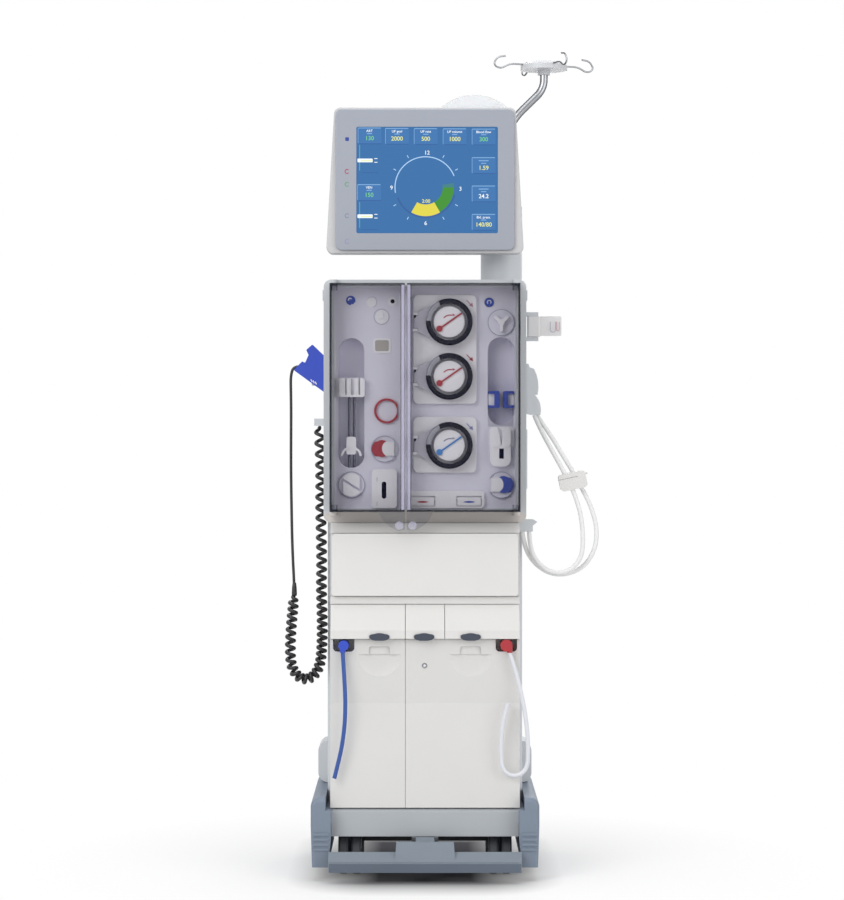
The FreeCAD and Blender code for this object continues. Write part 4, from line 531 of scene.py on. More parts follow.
def turned_form(name, profile, centre, material, body, slot, steps=40):
    """A round upright form from (radius, height) points in millimetres about a centre."""
    form = bmesh.new()
    turns = [math.tau * i / steps for i in range(steps)]
    rings = [[form.verts.new(((centre[0] + r * math.cos(a)) * MM, (centre[1] + r * math.sin(a)) * MM,
                              (centre[2] + h) * MM)) for a in turns] for r, h in profile]
    for low, high in zip(rings, rings[1:]):
        for i in range(steps):
            form.faces.new((low[i], low[(i + 1) % steps], high[(i + 1) % steps], high[i]))
    form.faces.new(list(reversed(rings[0])))
    form.faces.new(rings[-1])
    mesh = mesh_of(form, name)
    for face in mesh.polygons:
        face.use_smooth = len(face.vertices) == 4
    return link_piece(name, mesh, material, body, slot)


def arc(x, z, radius, start, end, steps=24):
    """Points of an arc from one angle to another, in degrees from +X towards +Z."""
    angles = [math.radians(start + (end - start) * i / steps) for i in range(steps + 1)]
    return [(x + radius * math.cos(a), z + radius * math.sin(a)) for a in angles]


def rounded(x0, x1, z0, z1, radius):
    """A rectangle with rounded corners."""
    corners = ((x1 - radius, z1 - radius, 0), (x0 + radius, z1 - radius, 90),
               (x0 + radius, z0 + radius, 180), (x1 - radius, z0 + radius, 270))
    return [point for x, z, start in corners for point in arc(x, z, radius, start, start + 90, 5)]


def sector(x, z, inner, outer, start=0, end=359.9, steps=24):
    """A piece of a flat ring, or nearly all of it."""
    return arc(x, z, outer, start, end, steps) + arc(x, z, inner, end, start, steps)


def number(name, text, x, z, size, front, material, body, slot):
    """Plain figures centred on a place."""
    curve = bpy.data.curves.new(name, "FONT")
    curve.body = text
    curve.size = size * MM
    curve.align_x = "CENTER"
    curve.align_y = "CENTER"
    curve.extrude = 0.05 * MM
    curve.offset = size * 0.012 * MM
    return link_piece(name, curve, material, body, slot, rotation_euler=(math.pi / 2, 0, 0),
                      location=(x * MM, front * MM, z * MM))


class FinishBase(bpy.types.Operator):
    """Finish the castors, the fenders, the skirt and the pedal"""

    bl_idname = "dialysis.finish_base"
    bl_label = "Base"

    def execute(self, context):
        hub_radius = 40
        lip_top = 40
        dress("chassis", steel_paint())
        dress("base_skirt", skirt_abs())
        dress("side_fenders", fender_pu())
        # The pedal's upright front takes the darker copy of its powder coat, as painted shade
        dress("brake_pedal", pedal_paint(), pedal_lip_painted_shade(),
              pick=lambda place, normal: normal.y < -0.7 and place.z < lip_top)
        for side in ("left", "right"):
            dress("castor_fork_" + side, grip_tpe())
            for wheels in ("castor_wheels_", "rear_wheels_"):
                low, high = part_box(wheels + side)
                axle = Vector(low + high) / 2 / MM
                dress(wheels + side, tread_pu(), skirt_abs(),
                      pick=lambda place, normal: (place - axle).yz.length < hub_radius)
        return {"FINISHED"}


class FinishCabinet(bpy.types.Operator):
    """Finish the lower cabinet, its hoods, flap and panels"""

    bl_idname = "dialysis.finish_cabinet"
    bl_label = "Cabinet"

    def execute(self, context):
        for node in ("cabinet_fascia", "filter_flap"):
            dress(node, cabinet_abs())
        dress("lower_panels", cabinet_abs(), chrome(), white_pc(), pick=self.lock)
        dress("cabinet_shell", casing_abs())
        dress("rear_cover", casing_abs(), black_ink(), pick=self.inlet)
        dress("blue_wand", blue_abs())
        dress("red_wand", arterial_pc())
        right_half = [(8, 7.3), (17.5, 6), (21.6, 3.4), (21.6, -1.5), (16.5, -5.8), (8, -7.4)]
        grip = right_half + [(-x, z) for x, z in reversed(right_half)]
        pad_depth = 3.3
        for node, middle in HOODS:
            dress(node, cabinet_abs(), grip_tpe(),
                  pick=lambda place, normal, middle=middle: self.on_grip(place, middle))
            outline = [(middle + x, 522.6 + z) for x, z in grip]
            printed("grip_pad_" + node, outline, grip_tpe(), HOOD_FRONT - 0.1, node, "pedal", pad_depth)
        return {"FINISHED"}

    @staticmethod
    def lock(place, normal):
        """The chromed lock in the right-hand panel, with its pale key slot."""
        far = reach(place, LOCK)
        if far > 5.7 or place.y < -192:
            return 0
        return 2 if far < 3.1 and normal.y < -0.9 else 1

    @staticmethod
    def inlet(place, normal):
        """The dark pocket of the power inlet."""
        return 90 < place.x < 140 and 218 < place.z < 240 and place.y > 173

    @staticmethod
    def on_grip(place, middle):
        """The lens-shaped grip about a middle, which two arcs bound."""
        farther = max(reach(place, (middle, z)) for z in (497.05, 549.55))
        return farther < 34.3 and place.y < -203.9


# The left panel's finishes, by their place in its list
PANEL, WHITE, RED, DARK, STEEL, BLUE, WINDOW, CHANNEL = range(8)


class FinishModule(bpy.types.Operator):
    """Finish the blood module, its panels and its small controls"""

    bl_idname = "dialysis.finish_module"
    bl_label = "Blood module"

    def execute(self, context):
        under_doors = 789
        lip_back = -104
        for node in ("push_handle", "hose_block", "monitor_post", "monitor_yoke"):
            dress(node, casing_abs())
        # The housing's underside below the doors gets a darker, warmer colour: painted shade and painted
        # warm bounce light
        dress("module_housing", casing_abs(), underside_painted_shade_and_bounce(),
              pick=lambda place, normal: place.z < under_doors and place.y < lip_back)
        dress("left_module_panel", panel_pc(), white_pc(), arterial_pc(), black_ink(), rod_steel_painted_shade(),
              venous_pc(), window_pc(), channel_pc_painted_shade(), pick=self.left_panel)
        dress("pump_panel", panel_pc(), white_pc(),
              pick=lambda place, normal: -40 < place.x < 130 and place.y < PANEL_FRONT - 0.1)
        for node in ("pressure_knob", "port_knob"):
            dress(node, panel_pc(), white_pc(),
                  pick=lambda place, normal: normal.y < -0.9 and place.y < -134.5)
        dress("level_detector", white_pc(), black_ink(), pick=self.detector_slot)
        dress("line_clips", panel_pc(), arterial_pc(), venous_pc(), white_pc(), pick=self.clips)
        for node in ("syringe_driver", "arterial_plunger", "venous_plunger"):
            dress(node, white_pc())
        for node, ink in (("red_port_flap", arterial_pc()), ("blue_port_flap", venous_pc())):
            dress(node, white_pc(), ink, pick=lambda place, normal: place.y < -138.05)
        dress("power_button", venous_pc())
        dress("sensor_head", blue_abs())
        dress("hose_clip", cabinet_abs())
        for node in ("left_door", "right_door"):
            dress(node, door_acrylic(), door_rim(), door_strip(), pick=self.door_side)
        self.holder()
        return {"FINISHED"}

    @staticmethod
    def holder():
        """The dialyser's holder with its two printed brackets, a wide grey one and a narrow red one."""
        node = "dialyser_arm"
        dress(node, holder_abs())
        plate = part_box(node)[0].y / MM
        foot = 1187
        top = 1204
        line = 1.2
        for name, x, half, ink in (("grey", 280, 6.5, grey_ink()), ("red", 291, 3.6, pale_red_ink())):
            inner = half - line
            for part, outline in (("foot", sector(x, foot, inner, half, 180, 360, 12)),
                                  ("left", rounded(x - half, x - inner, foot, top, line / 2)),
                                  ("right", rounded(x + inner, x + half, foot, top, line / 2))):
                printed(f"holder_mark_{name}_{part}", outline, ink, plate, node)

    @staticmethod
    def door_side(place, normal):
        """The doors' outer walls, dark where the light runs along the sheet, and their ear pads."""
        if place.z < 770 and place.y < DOOR_FRONT - 0.3:
            return 2
        outer = abs(place.x) > 201.5 or place.z < 795.5 or place.z > 1279
        return outer and place.y > DOOR_FRONT + 0.5 and 790 < place.z < 1285

    @staticmethod
    def detector_slot(place, normal):
        """The dark slot of the level detector."""
        return 160.9 < place.x < 171.1 and 904.9 < place.z < 927.1 and place.y > -144.9

    @staticmethod
    def left_panel(place, normal):
        """White inserts, red ring, dark slot, window, blue button and steel rods of the left panel."""
        crosshead = 1036 < place.z < 1082 and place.x < -130
        if crosshead and place.y < -92:
            return WHITE
        # The guide rods take the steel darkened as painted shade
        if min(abs(place.x + 165.5), abs(place.x + 154.5)) < 2.7 and abs(place.y + 112) < 2.7:
            return STEEL
        if place.y > PANEL_FRONT + 0.5:
            # The channel below the crosshead takes the panel's colour darkened as painted shade
            below_crosshead = place.x < -131 and 880 < place.z < 1036
            return CHANNEL if below_crosshead and place.y < -100 else PANEL
        if place.y > PANEL_FRONT - 0.1:
            return PANEL
        if reach(place, RED_RING) < 28:
            return RED
        if -115.6 < place.x < -60.9 and place.z < 882.1:
            in_slot = -94.1 < place.x < -83.9 and 817.9 < place.z < 855.1 and place.y > -139.9
            return DARK if in_slot else WHITE
        if reach(place, DARK_DOT) < 4.6 and place.y < -130.6:
            return DARK
        if reach(place, BLUE_BUTTON) < 10.3:
            return BLUE
        if -108.7 < place.x < -78.1 and 1138.6 < place.z < 1162.7 and place.y < PANEL_FRONT - 1.9:
            return WINDOW
        return WHITE

    @staticmethod
    def clips(place, normal):
        """Red and blue jaws of the clamps, and the catcher's blue clips."""
        if place.z > 1000:
            return 3 if place.y > -133.9 and normal.y < -0.5 else 2
        if place.y > -132.2:
            return 0
        for side, clamp, dye in ((-1, ARTERIAL_CLAMP, 1), (1, VENOUS_CLAMP, 2)):
            jaw = (clamp[0] + 7 * side, clamp[1])
            outside = side * (place.x - clamp[0]) > 3.8
            if outside and reach(place, jaw) < 20.7 and reach(place, clamp) < 27.6:
                return dye
        return 0


class FinishPumps(bpy.types.Operator):
    """Finish the three roller pumps and print their arrows"""

    bl_idname = "dialysis.finish_pumps"
    bl_label = "Pumps"

    def execute(self, context):
        for pump, z in PUMP_HEIGHTS.items():
            bar = pointer_pc() if pump == "bottom" else arterial_pc()
            dress("pump_cover_" + pump, ring_pc(), bracket_pc(), neck_pc(),
                  pick=lambda place, normal, z=z: self.cover(place, z))
            dress("pump_rotor_" + pump, white_pc(), bar,
                  pick=lambda place, normal: place.y < ROTOR_FRONT - 0.6)
            self.arrow(pump, z, grey_ink() if pump == "bottom" else bar)
        return {"FINISHED"}

    @staticmethod
    def cover(place, z):
        """The black ring, grey at its upper left, with its pale neck."""
        if reach(place, (PUMP_X, z)) > 51:
            return 2
        return 118 < math.degrees(math.atan2(place.z - z, place.x - PUMP_X)) < 178

    @staticmethod
    def arrow(pump, z, ink):
        """The curved arrow that gives the pump's turning sense."""
        x = PUMP_X + 2
        tip_x = x + 11
        tip_z = z + 14.5
        tip = [(tip_x, tip_z), (tip_x - 6, tip_z + 4), (tip_x - 5.5, tip_z - 2)]
        for part, outline in (("sweep", sector(x, z - 4, 17.4, 20, 76, 138)), ("tip", tip)):
            printed(f"arrow_{part}_{pump}", outline, ink, ROTOR_FRONT, "pump_rotor_" + pump, "rotor")


class FinishMonitor(bpy.types.Operator):
    """Finish the monitor and draw its lit display"""

    bl_idname = "dialysis.finish_monitor"
    bl_label = "Monitor and display"

    def execute(self, context):
        dress("monitor_housing", monitor_abs())
        dress("monitor_bezel", bezel_abs())
        dress("screen_glass", lit("ground"))
        dress("status_lamp", lamp_pc())
        self.boxes()
        self.gauges()
        self.dial()
        self.symbols()
        return {"FINISHED"}

    @staticmethod
    def part(name, outline, light, layer=1):
        """A flat part of the display, in one of its layers."""
        thickness = 0.12
        return flat_form(name, outline, DISPLAY_FRONT - thickness * layer, thickness, lit(light), "monitor",
                         "screen")

    @staticmethod
    def figures(name, text, x, z, size, light):
        """Plain figures on the display."""
        return number(name, text, x, z, size, DISPLAY_FRONT - 0.3, lit(light), "monitor", "screen")

    def boxes(self):
        """The value boxes along the top and down the right side."""
        green = "green_figures"
        boxes = ((-146, 1623.4, "ART", "130", green), (-86.5, 1622.5, "UF goal", "2000", "yellow"),
                 (-24.2, 1622, "UF rate", "500", "yellow"), (38.6, 1621.5, "UF volume", "1000", "yellow"),
                 (101.5, 1621, "Blood flow", "300", green), (101.5, 1559, "", "1.59", "yellow"),
                 (101.5, 1497.5, "", "24.2", "white"), (101.5, 1436, "Bld. press.", "140/80", "yellow"),
                 (-147, 1500.5, "VEN", "150", green))
        width = 51.5
        height = 36
        for i, (x, top, label, text, light) in enumerate(boxes):
            right = x + width
            foot = top - height
            for part, outline, tone, layer in (
                    ("box", (x, right, foot, top, 2), "box", 1),
                    ("box_top", (x + 1, right - 1, top - 1.8, top - 0.2, 0.7), "edge", 2),
                    ("box_side", (x + 0.2, x + 1.2, foot + 2, top - 1, 0.4), "edge", 2),
                    ("box_foot", (x + 3, right, foot, foot + 1.6, 0.7), "shade", 2)):
                self.part(f"{part}_{i}", rounded(*outline), tone, layer)
            if label:
                self.figures(f"box_label_{i}", label, x + width / 2, top - 7.5, 7.4, "white")
            else:
                bar = rounded(x + 15, right - 15, top - 8.6, top - 6.6, 0.9)
                self.part(f"box_label_{i}", bar, "edge", 2)
            self.part(f"box_unit_{i}", rounded(x + 20, right - 20, top - 14.2, top - 12.4, 0.7), "edge", 2)
            self.figures(f"box_value_{i}", text, x + width / 2, top - 23.5, 12.8, light)

    def gauges(self):
        """The two pressure columns at the left, with their markers."""
        for i, (top, marker) in enumerate(((1586, 1552), (1462, 1431))):
            for part, outline, light, layer in (
                    ("column", (-142.8, -140.8, top - 56, top, 0.9), "column", 1),
                    ("marker", (-146.5, -113.5, marker - 4, marker + 4, 1.5), "white", 2),
                    ("line", (-139, -114, marker - 1.6, marker + 0.2, 0.6), "yellow", 3),
                    ("foot", (-136, -102, top - 61, top - 59.6, 0.6), "shade", 1)):
                self.part(f"gauge_{part}_{i}", rounded(*outline), light, layer)
            for step in (-4, 4):
                z = marker + step
                limit = rounded(-110, -103, z - 0.8, z + 0.8, 0.6)
                self.part(f"gauge_limit_{i}_{step + 4}", limit, "white", 2)

    def dial(self):
        """The round time dial with its figures, green arc and yellow sector."""
        x, z = DIAL
        for part, (inner, outer, start, end, steps), light, layer in (
                ("ring_upper", (65.4, 67.6, 22, 190, 48), "ring", 1),
                ("ring_lower", (62.6, 66.2, 200, 345, 48), "shade", 1),
                ("green", (37, 61.5, -60, 0, 24), "green", 2),
                ("green_fade", (37, 61.5, 0, 9, 6), "green_fade", 2),
                ("yellow", (37, 62.5, -120, -60, 24), "sector", 3)):
            self.part("dial_" + part, sector(x, z, inner, outer, start, end, steps), light, layer)
        for hour in range(12):
            if hour % 3:
                angle = math.radians(90 - hour * 30)
                corners = ((74, -0.8), (80.5, -0.8), (80.5, 0.8), (74, 0.8))
                sine = math.sin(angle)
                cosine = math.cos(angle)
                outline = [(x + out * cosine - across * sine, z + out * sine + across * cosine)
                           for out, across in corners]
                self.part(f"dial_tick_{hour}", outline, "ring")
        for text, dx, dz in (("12", 3, 75), ("3", 75.5, -3.5), ("6", 0, -78), ("9", -74, -1)):
            self.figures("dial_figure_" + text, text, x + dx, z + dz, 12, "white")
        self.figures("dial_time", "2:00", x + 1, z - 30, 10.5, "yellow")

    @staticmethod
    def symbols():
        """Small plain symbols printed on the bezel's left side."""
        for name, code, z in (("blue", "#2B3E8C", 1598), ("red", "#A03C48", 1528),
                              ("green", "#5E9A70", 1500), ("grey", "#7C82A0", 1432),
                              ("violet", "#8C8CB0", 1376)):
            square = rounded(-173, -165, z - 4, z + 4, 1.6)
            outline = square if name == "blue" else sector(-169, z, 3.4, 5.2, 40, 320)
            printed("bezel_mark_" + name, outline, coloured_ink("bezel_ink_" + name, code), BEZEL_FRONT,
                    "monitor", "bezel")


class PrintMarks(bpy.types.Operator):
    """Print the plain marks on the blood module"""

    bl_idname = "dialysis.print_marks"
    bl_label = "Printed marks"

    def execute(self, context):
        for i, (x, z, turn) in enumerate(((-165.1, 1252.5, 20), (-158.6, 1244.5, 200))):
            printed(f"round_mark_sweep_{i}", sector(x + 2, z - 2, 2.2, 4.6, turn, turn + 190), white_pc(),
                    PANEL_FRONT - 2.5)
        inks = {"top": pale_red_ink(), "middle": arterial_pc(),
                "bottom": coloured_ink("arrow_ink_violet", "#8F90BE")}
        for name, z in PUMP_HEIGHTS.items():
            shaft = [(89.5, z + 47), (91, z + 48.4), (100.5, z + 38.5), (98.8, z + 37)]
            tip = [(104.6, z + 32.6), (95.6, z + 36.4), (102.8, z + 42.6)]
            printed("flow_arrow_" + name, shaft, inks[name], RAISED_FRONT)
            printed("flow_arrow_tip_" + name, tip, inks[name], RAISED_FRONT)
            printed("catch_" + name, arc(-23.5, z + 12.5, 4.4, -90, 90, 12), black_ink(), COVER_FRONT,
                    "pump_cover_" + name, "ring")
        printed("button_mark", sector(139.6, 1245, 3.4, 4.8, -50, 230), white_pc(), PANEL_FRONT - 4,
                "power_button", "blue")
        for name, (x, z), level, start, end in (
                ("pressure_knob", PRESSURE_KNOB, -133, 0, 359.9),
                ("port_knob", PORT_KNOB, -133, 0, 359.9),
                ("arterial_clamp", ARTERIAL_CLAMP, -135, 33, 327),
                ("venous_clamp", VENOUS_CLAMP, -135, 213, 507)):
            printed("ring_line_" + name, sector(x, z, 27.8, 28.9, start, end, 48), grey_ink(), level,
                    name if name.endswith("knob") else "machine")
        self.frames()
        self.jaws()
        for name, z in (("upper", 860), ("lower", 807)):
            outline = rounded(-104.7, -103.7, z - 4.5, z + 4.5, 0.4)
            printed("slot_line_" + name, outline, grey_ink(), RAISED_FRONT)
        sensor_front = -104
        for i in range(3):
            x = -250 + 4.6 * i
            drop = 2.4 * i
            rib = [(x + dx, z - drop) for dx, z in ((0, 1077), (1.6, 1078.2), (4.6, 1072), (3, 1070.8))]
            printed(f"sensor_rib_{i}", rib, white_pc(), sensor_front, "machine", "blue", 0.5)
        return {"FINISHED"}

    @staticmethod
    def frames():
        """The window's light frame, the rings of the left panel's small controls and the doors' strips."""
        outer = rounded(-113, -74, 1134, 1167, 6) + [(-74, 1160.9)]
        inner = rounded(-108.5, -78.5, 1138.6, 1162.6, 4) + [(-78.5, 1158.5)]
        printed("window_frame", outer + inner[::-1], white_pc(), rise=2.4)
        printed("small_ring", sector(*SMALL_RING, 10.8, 11.4, steps=36), grey_ink())
        printed("knob_ring", sector(*SMALL_KNOB, 16.2, 17.1, steps=40), grey_ink())
        # A plate in painted shade carries the catcher's recess down to the level detector
        printed("recess_foot", arc(164.6, 1006, 27.9, 180, 360) + [(192.5, 975), (136.7, 975)], recess_pc_painted_shade())
        for i, turn in enumerate((90, 210, 330)):
            printed(f"knob_spoke_{i}", sector(*SMALL_KNOB, 3, 12, turn - 7, turn + 7, 4), white_pc())
        printed("dot_collar", sector(*DARK_DOT, 5.4, 9.5, steps=36), white_pc(), rise=0.65)
        for kind, ink, width, edges in (("strip", door_strip(), 6.6, (("left", -51), ("right", -38))),
                                        ("line", door_rim(), 1.3, (("left", -52.4), ("right", -31.2)))):
            for side, x in edges:
                outline = [(x, 796), (x + width, 796), (x + width, 1280), (x, 1280)]
                printed(f"door_{kind}_{side}", outline, ink, DOOR_FRONT - 0.05, side + "_door", "door")

    @staticmethod
    def jaws():
        """The crescent arms of the clamps' jaws, which reach round the white fingers."""
        for name, (x, z), side, ink in (("arterial", ARTERIAL_CLAMP, -1, arterial_pc()),
                                        ("venous", VENOUS_CLAMP, 1, venous_pc())):
            arms = arc(5, 1, 18.5, 118, -118) + arc(-13.5, 1, 18.5, -55, 55)
            root = arc(5, 0, 18.5, 55, -55) + arc(-3, 0, 15.7, -55, 55)
            nose = arc(-13.5, 1, 17.4, 62, -62, 20) + [(-20.5, -13.4), (-20.5, 15.4)]
            for part, outline, front, depth, material, body, slot in (
                    ("arms", arms, -138.4, 0.1, ink, "machine", "panel"),
                    ("root", root, -138.3, 3.3, ink, "machine", "panel"),
                    ("nose", nose, -138.25, 0.25, white_pc(), name + "_plunger", "rotor")):
                placed = [(x + side * dx, z + dz) for dx, dz in outline]
                flat_form(f"{name}_jaw_{part}", placed, front, depth, material, body, slot)


class FinishPole(bpy.types.Operator):
    """Finish the infusion pole, its cap and its hooks"""

    bl_idname = "dialysis.finish_pole"
    bl_label = "Infusion pole"

    def execute(self, context):
        cap_radius = 52.6
        dress("iv_pole", chrome())
        low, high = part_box("iv_hooks")
        middle = (low + high) / 2 / MM
        dress("iv_hooks", chrome(), cap_abs(),
              pick=lambda place, normal: math.hypot(place.x - middle.x, place.y - middle.y) <= cap_radius)
        return {"FINISHED"}


# Courses of the cords, in millimetres
BLUE_TUBE = ((-177, -204, 489), (-174, -205, 445), (-171, -206, 388), (-172, -206, 338), (-178, -206, 290),
             (-187, -206, 250), (-195, -206, 219))
WHITE_TUBE = ((182, -204, 489), (190, -205, 464), (201, -206, 425), (211, -206, 382), (218, -206, 338),
              (221, -206, 300), (221.5, -206, 268), (219, -206, 241), (203, -206, 225), (181, -206, 225),
              (165, -206, 241), (163, -206, 270), (163.5, -206, 304), (168, -206, 344), (178, -206, 381))
HOSE_INNER = ((239, -97, 1000), (252, -99, 970), (270, -102, 936), (289, -104, 902), (308, -105, 867),
              (325, -105, 832), (339, -105, 790), (346, -105, 740), (343, -105, 686), (312, -105, 656),
              (270, -105, 656), (239, -104, 686), (229, -99, 716), (228, -95, 745))
HOSE_OUTER = ((245, -86, 1000), (262, -86, 975), (284, -87, 942), (304, -88, 908), (325, -88, 874),
              (343, -88, 841), (364, -88, 800), (377, -88, 753), (374, -88, 707), (350, -88, 668),
              (312, -88, 650), (272, -88, 652), (238, -88, 676), (218, -92, 710), (213, -93, 745))
SENSOR_LEAD = ((-286, -91.5, 606.5), (-286.8, -91.5, 640), (-289, -91.5, 680), (-291, -91.5, 735),
               (-292, -91.5, 790), (-293, -91.5, 850), (-293.4, -91.5, 905), (-293.2, -91.5, 960),
               (-293, -91.5, 1010), (-293.5, -92, 1050), (-294, -94, 1086), (-287, -97, 1107),
               (-270, -97, 1106))
SENSOR_COIL = ((-232, -91.5, 975), (-229, -91.5, 918), (-228, -91.5, 858), (-228.5, -91.5, 798),
               (-227, -91.5, 738), (-226, -91.5, 678), (-227, -91.5, 618), (-225, -91.5, 558),
               (-225, -91.5, 500), (-229, -91.5, 450), (-248, -91.5, 422), (-275, -91.5, 422),
               (-294, -91.5, 450), (-295, -91.5, 498), (-292, -91.5, 550), (-286, -91.5, 606))


def smooth_curve(name, points, diameter):
    """A smooth line through space with a round section. The points are in metres."""
    curve = bpy.data.curves.new(name, "CURVE")
    curve.dimensions = "3D"
    curve.resolution_u = 10
    curve.bevel_depth = diameter / 2
    curve.bevel_resolution = 5
    curve.use_fill_caps = True
    line = curve.splines.new("NURBS")
    line.points.add(len(points) - 1)
    for point, place in zip(line.points, points):
        point.co = (*place, 1)
    line.order_u = 3
    line.use_endpoint_u = True
    piece = bpy.data.objects.new(name, curve)
    bpy.context.scene.collection.objects.link(piece)
    return piece


def in_metres(route):
    """The places of a route given in millimetres."""
    return [tuple(v * MM for v in point) for point in route]


def line_of(points):
    """The places that a smooth curve through a route follows."""
    guide = smooth_curve("guide", points, 0)
    mesh = bpy.data.meshes.new_from_object(guide)
    course = [v.co.copy() for v in mesh.vertices]
    bpy.data.objects.remove(guide)
    bpy.data.meshes.remove(mesh)
    return course


def run_length(course):
    """The length of a line of places."""
    return sum((b - a).length for a, b in zip(course, course[1:]))


def declare_cord(piece, points, diameter, material, node, body, slot, far_end, stiffness="medium",
                 pieces=()):
    """Give the smooth curve that stands for a node its finish, put it on a body and hide the node."""
    piece.data.materials.append(material)
    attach(piece, body)
    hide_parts(node)
    run_length(line_of(points))


def lay_cord(name, route, diameter, *rest, **more):
    """A hose or lead along its route."""
    points = in_metres(route)
    declare_cord(smooth_curve(name, points, diameter), points, diameter, *rest, **more)


class LayHoses(bpy.types.Operator):
    """Lay the two side hoses and the two wand tubes"""

    bl_idname = "dialysis.lay_hoses"
    bl_label = "Hoses and tubes"

    def execute(self, context):
        clear = tube_silicone("hose_milky_silicone", "#E6E6E6")
        blue = tube_silicone("tube_blue_silicone", "#35569E")
        pale = tube_silicone("tube_white_silicone", "#DADCE2")
        hose = sizes().hose
        lay_cord("side_hose_inner", HOSE_INNER, hose, clear, "hose_inner", "machine", "hose", "object",
                 pieces=[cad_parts["hose_clip"]])
        lay_cord("side_hose_outer", HOSE_OUTER, hose, clear, "hose_outer", "machine", "hose", "object")
        lay_cord("wand_tube_blue", BLUE_TUBE, 9 * MM, blue, "blue_tube", "blue_wand", "tube_blue", "bare",
                 "stiff")
        lay_cord("wand_tube_white", WHITE_TUBE, 9.4 * MM, pale, "white_tube", "red_wand", "hose", "bare",
                 "stiff")
        return {"FINISHED"}


class LaySensorLead(bpy.types.Operator):
    """Lay the sensor's straight lead and wind its curly length"""

    bl_idname = "dialysis.lay_sensor_lead"
    bl_label = "Sensor lead"

    def execute(self, context):
        pvc = lead_pvc()
        wire = sizes().coil_wire
        profile = ((3.3, -2), (5.6, -1.2), (5.8, 4), (5.2, 16), (4.0, 26), (3.3, 27))
        points = self.helix(line_of(in_metres(SENSOR_COIL)), (sizes().coil - wire) / 2)
        ferrule = turned_form("sensor_lead_ferrule", profile, (-286, -91.5, 606), pvc, "machine", "coil")
        coil = smooth_curve("sensor_curly_lead", points, wire)
        coil.data.resolution_u = 2
        coil.data.bevel_resolution = 3
        declare_cord(coil, points, wire, pvc, "sensor_coil", "machine", "coil", "fitting", pieces=[ferrule])
        lay_cord("sensor_straight_lead", SENSOR_LEAD, sizes().lead, pvc, "sensor_lead", "machine", "coil",
                 "tool", pieces=[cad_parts["sensor_head"]])
        return {"FINISHED"}

    @staticmethod
    def pitch_at(share):
        """The rise per turn in millimetres: stretched at the top, close at the bend, wider after it."""
        known = ((0.0, 24.5), (0.22, 23.0), (0.45, 18.0), (0.62, 14.0), (0.75, 13.0), (0.85, 17.0),
                 (1.0, 13.0))
        for (a, low), (b, high) in zip(known, known[1:]):
            if share <= b:
                return low + (high - low) * (share - a) / (b - a)
        return known[-1][1]

    def helix(self, course, radius):
        """The turns round a course, which close in at both ends."""
        total = run_length(course)
        steps_per_turn = 14
        closing = 14 * MM
        points = []
        along = 0.0
        turn = 0.0
        walked = 0.0
        index = 0
        while along < total:
            while index < len(course) - 2 and walked + (course[index + 1] - course[index]).length < along:
                walked += (course[index + 1] - course[index]).length
                index += 1
            run = (course[index + 1] - course[index]).normalized()
            centre = course[index] + run * (along - walked)
            side = run.cross(Vector((0, 1, 0)))
            ease = min(1.0, along / closing, (total - along) / closing)
            angle = turn * math.tau
            spoke = side * math.cos(angle) + Vector((0, math.sin(angle), 0))
            points.append(centre + spoke * radius * ease)
            along += self.pitch_at(along / total) * MM / steps_per_turn
            turn += 1 / steps_per_turn
        points.append(course[-1])
        return [tuple(point) for point in points]


# The camera's place in millimetres, its lens and the share of its picture by which the horizon is moved
CAMERA_X = -6.5
CAMERA_Z = 991.0
CAMERA_LENS = 111.6
HORIZON_SHIFT = -0.0344
# The floor, and the part of it that the base covers, where a dark shadow is painted, in metres
FLOOR_RADIUS = 2.6
PAINTED_SHADOW_MIDDLE = (0, 0.06, 0)
PAINTED_SHADOW_HALF = (0.1, 0.27, 0)


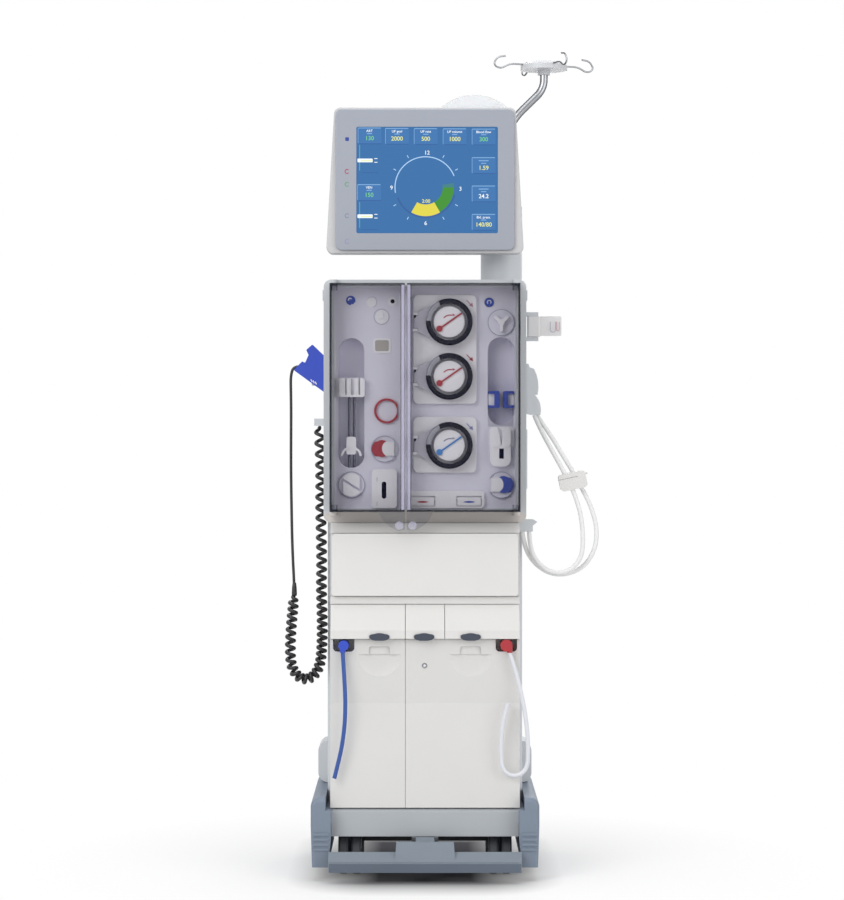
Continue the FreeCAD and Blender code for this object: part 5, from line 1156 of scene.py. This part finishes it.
class SetStage(bpy.types.Operator):
    """Set the floor, the lamps, the plain white ground and the camera"""

    bl_idname = "dialysis.set_stage"
    bl_label = "Studio"

    def execute(self, context):
        scene = context.scene
        scene.view_settings.view_transform = "Standard"
        self.world(scene)
        self.floor(scene)
        self.lamps(scene)
        self.camera(scene)
        return {"FINISHED"}

    @staticmethod
    def camera(scene):
        """A level camera before the machine, from far off as in a catalogue picture."""
        data = bpy.data.cameras.new("camera")
        data.lens = CAMERA_LENS
        data.shift_y = HORIZON_SHIFT
        data.clip_end = 50
        camera = bpy.data.objects.new("camera", data)
        camera.location = (CAMERA_X * MM, -sizes().camera_distance, CAMERA_Z * MM)
        camera.rotation_euler = (math.pi / 2, 0, 0)
        scene.collection.objects.link(camera)
        scene.camera = camera

    @staticmethod
    def seen_directly(tree):
        """One where the camera, a reflection or clear plastic looks straight at the ground."""
        path = add_node(tree, "ShaderNodeLightPath").outputs
        first = combined(tree, "MAXIMUM", path["Is Camera Ray"], path["Is Glossy Ray"])
        return combined(tree, "MAXIMUM", first, path["Is Transmission Ray"])

    def world(self, scene):
        """White where it is seen, and a soft even light on the machine."""
        world = bpy.data.worlds.new("studio")
        scene.world = world
        world.use_nodes = True
        tree = world.node_tree
        tree.nodes.clear()
        soft, plain = (add_node(tree, "ShaderNodeBackground", {"Color": (1, 1, 1, 1), "Strength": strength})
                       for strength in (0.55, 1.0))
        mix = add_node(tree, "ShaderNodeMixShader", {},
                       {0: self.seen_directly(tree), 1: soft.outputs[0], 2: plain.outputs[0]})
        add_node(tree, "ShaderNodeOutputWorld", {}, {"Surface": mix.outputs[0]})

    def floor(self, scene):
        """A pale floor with a dark shadow painted under the base, which fades into the white ground away
        from the machine.
        """
        form = bmesh.new()
        bmesh.ops.create_circle(form, cap_ends=True, segments=96, radius=FLOOR_RADIUS)
        mesh = mesh_of(form, "floor")
        mesh.materials.append(shaded("floor_matt_paper", self.paper))
        floor = bpy.data.objects.new("floor", mesh)
        floor.location = (0, 0, -0.0005)
        scene.collection.objects.link(floor)

    def paper(self, tree):
        """Matt paper with a painted dark close shadow under the base, lost in the white ground further out.
        """
        place = places(tree)
        far = add_node(tree, "ShaderNodeVectorMath", {}, {0: place}, operation="LENGTH").outputs["Value"]
        fade = spread(tree, far, 0.35, 1.0, 0.35, 0.9)
        # how far a place lies outside the base's footprint, where the shadow is painted
        rim = place
        for operation, amount in (("SUBTRACT", PAINTED_SHADOW_MIDDLE), ("ABSOLUTE", (0, 0, 0)),
                                  ("SUBTRACT", PAINTED_SHADOW_HALF), ("MAXIMUM", (0, 0, 0))):
            step = add_node(tree, "ShaderNodeVectorMath", {1: amount}, {0: rim}, operation=operation)
            rim = step.outputs[0]
        rim = add_node(tree, "ShaderNodeVectorMath", {}, {0: rim}, operation="LENGTH").outputs["Value"]
        # Painted shadow: inside the footprint the paper turns dark and loses its white glow, fading out
        # over 0.2 m
        outside_painted_shadow = spread(tree, rim, 0.0, 1.0, 0.0, 0.2)
        share = combined(tree, "MULTIPLY", fade, outside_painted_shadow)
        share = combined(tree, "MULTIPLY", share, self.seen_directly(tree))
        bump = add_node(tree, "ShaderNodeBump", {"Strength": 0.02}, {"Height": noise(tree, 300.0)})
        paper = add_node(tree, "ShaderNodeBsdfDiffuse", {},
                         {"Color": blended(tree, outside_painted_shadow, (0.11, 0.11, 0.12, 1), (0.9, 0.9, 0.9, 1)),
                          "Normal": bump.outputs["Normal"]})
        white = add_node(tree, "ShaderNodeEmission", {"Strength": 1.0})
        return add_node(tree, "ShaderNodeMixShader", {},
                        {0: share, 1: paper.outputs[0], 2: white.outputs[0]})

    @staticmethod
    def lamps(scene):
        """A broad key from the upper left, a fill from the right, a lift from above, a rear light."""
        for name, place, size, power in (("key", (-2.2, -3.2, 2.6), 2.4, 70),
                                         ("fill", (2.8, -2.8, 1.4), 2.4, 34),
                                         ("top", (0, -0.6, 3.4), 2.0, 28),
                                         ("rear", (0.8, 3.0, 2.2), 2.4, 34)):
            data = bpy.data.lights.new(name, "AREA")
            data.size = size
            data.energy = power
            lamp = bpy.data.objects.new(name, data)
            lamp.location = place
            aim = Vector((0, 0, 0.9)) - Vector(place)
            lamp.rotation_euler = aim.to_track_quat("-Z", "Y").to_euler()
            scene.collection.objects.link(lamp)


OPERATORS = (FinishBase, FinishCabinet, FinishModule, FinishPumps, FinishMonitor, PrintMarks, FinishPole,
             LayHoses, LaySensorLead, SetStage)


class DialysisPanel(bpy.types.Panel):
    """Lists the steps, the colours and the sizes"""

    bl_idname = "VIEW3D_PT_dialysis"
    bl_label = "Dialysis machine"
    bl_space_type = "VIEW_3D"
    bl_region_type = "UI"
    bl_category = ZONE

    def draw(self, context):
        layout = self.layout
        for operator in OPERATORS:
            layout.operator(operator.bl_idname)
        for group in (context.scene.machine_colours, context.scene.machine_sizes):
            box = layout.box()
            for name in group.__annotations__:
                box.prop(group, name)


CLASSES = (MachineColours, MachineSizes, *OPERATORS, DialysisPanel)


def register():
    """Register the classes and their settings."""
    for cls in CLASSES:
        bpy.utils.register_class(cls)
    bpy.types.Scene.machine_colours = bpy.props.PointerProperty(type=MachineColours)
    bpy.types.Scene.machine_sizes = bpy.props.PointerProperty(type=MachineSizes)


def unregister():
    """Take the settings and the classes away again."""
    del bpy.types.Scene.machine_sizes
    del bpy.types.Scene.machine_colours
    for cls in reversed(CLASSES):
        bpy.utils.unregister_class(cls)


def main():
    """Dress the machine and set the stage."""
    register()
    for operator in OPERATORS:
        getattr(bpy.ops.dialysis, operator.bl_idname.split(".")[1])()
    bpy.context.view_layer.update()


if __name__ == "__main__":
    main()
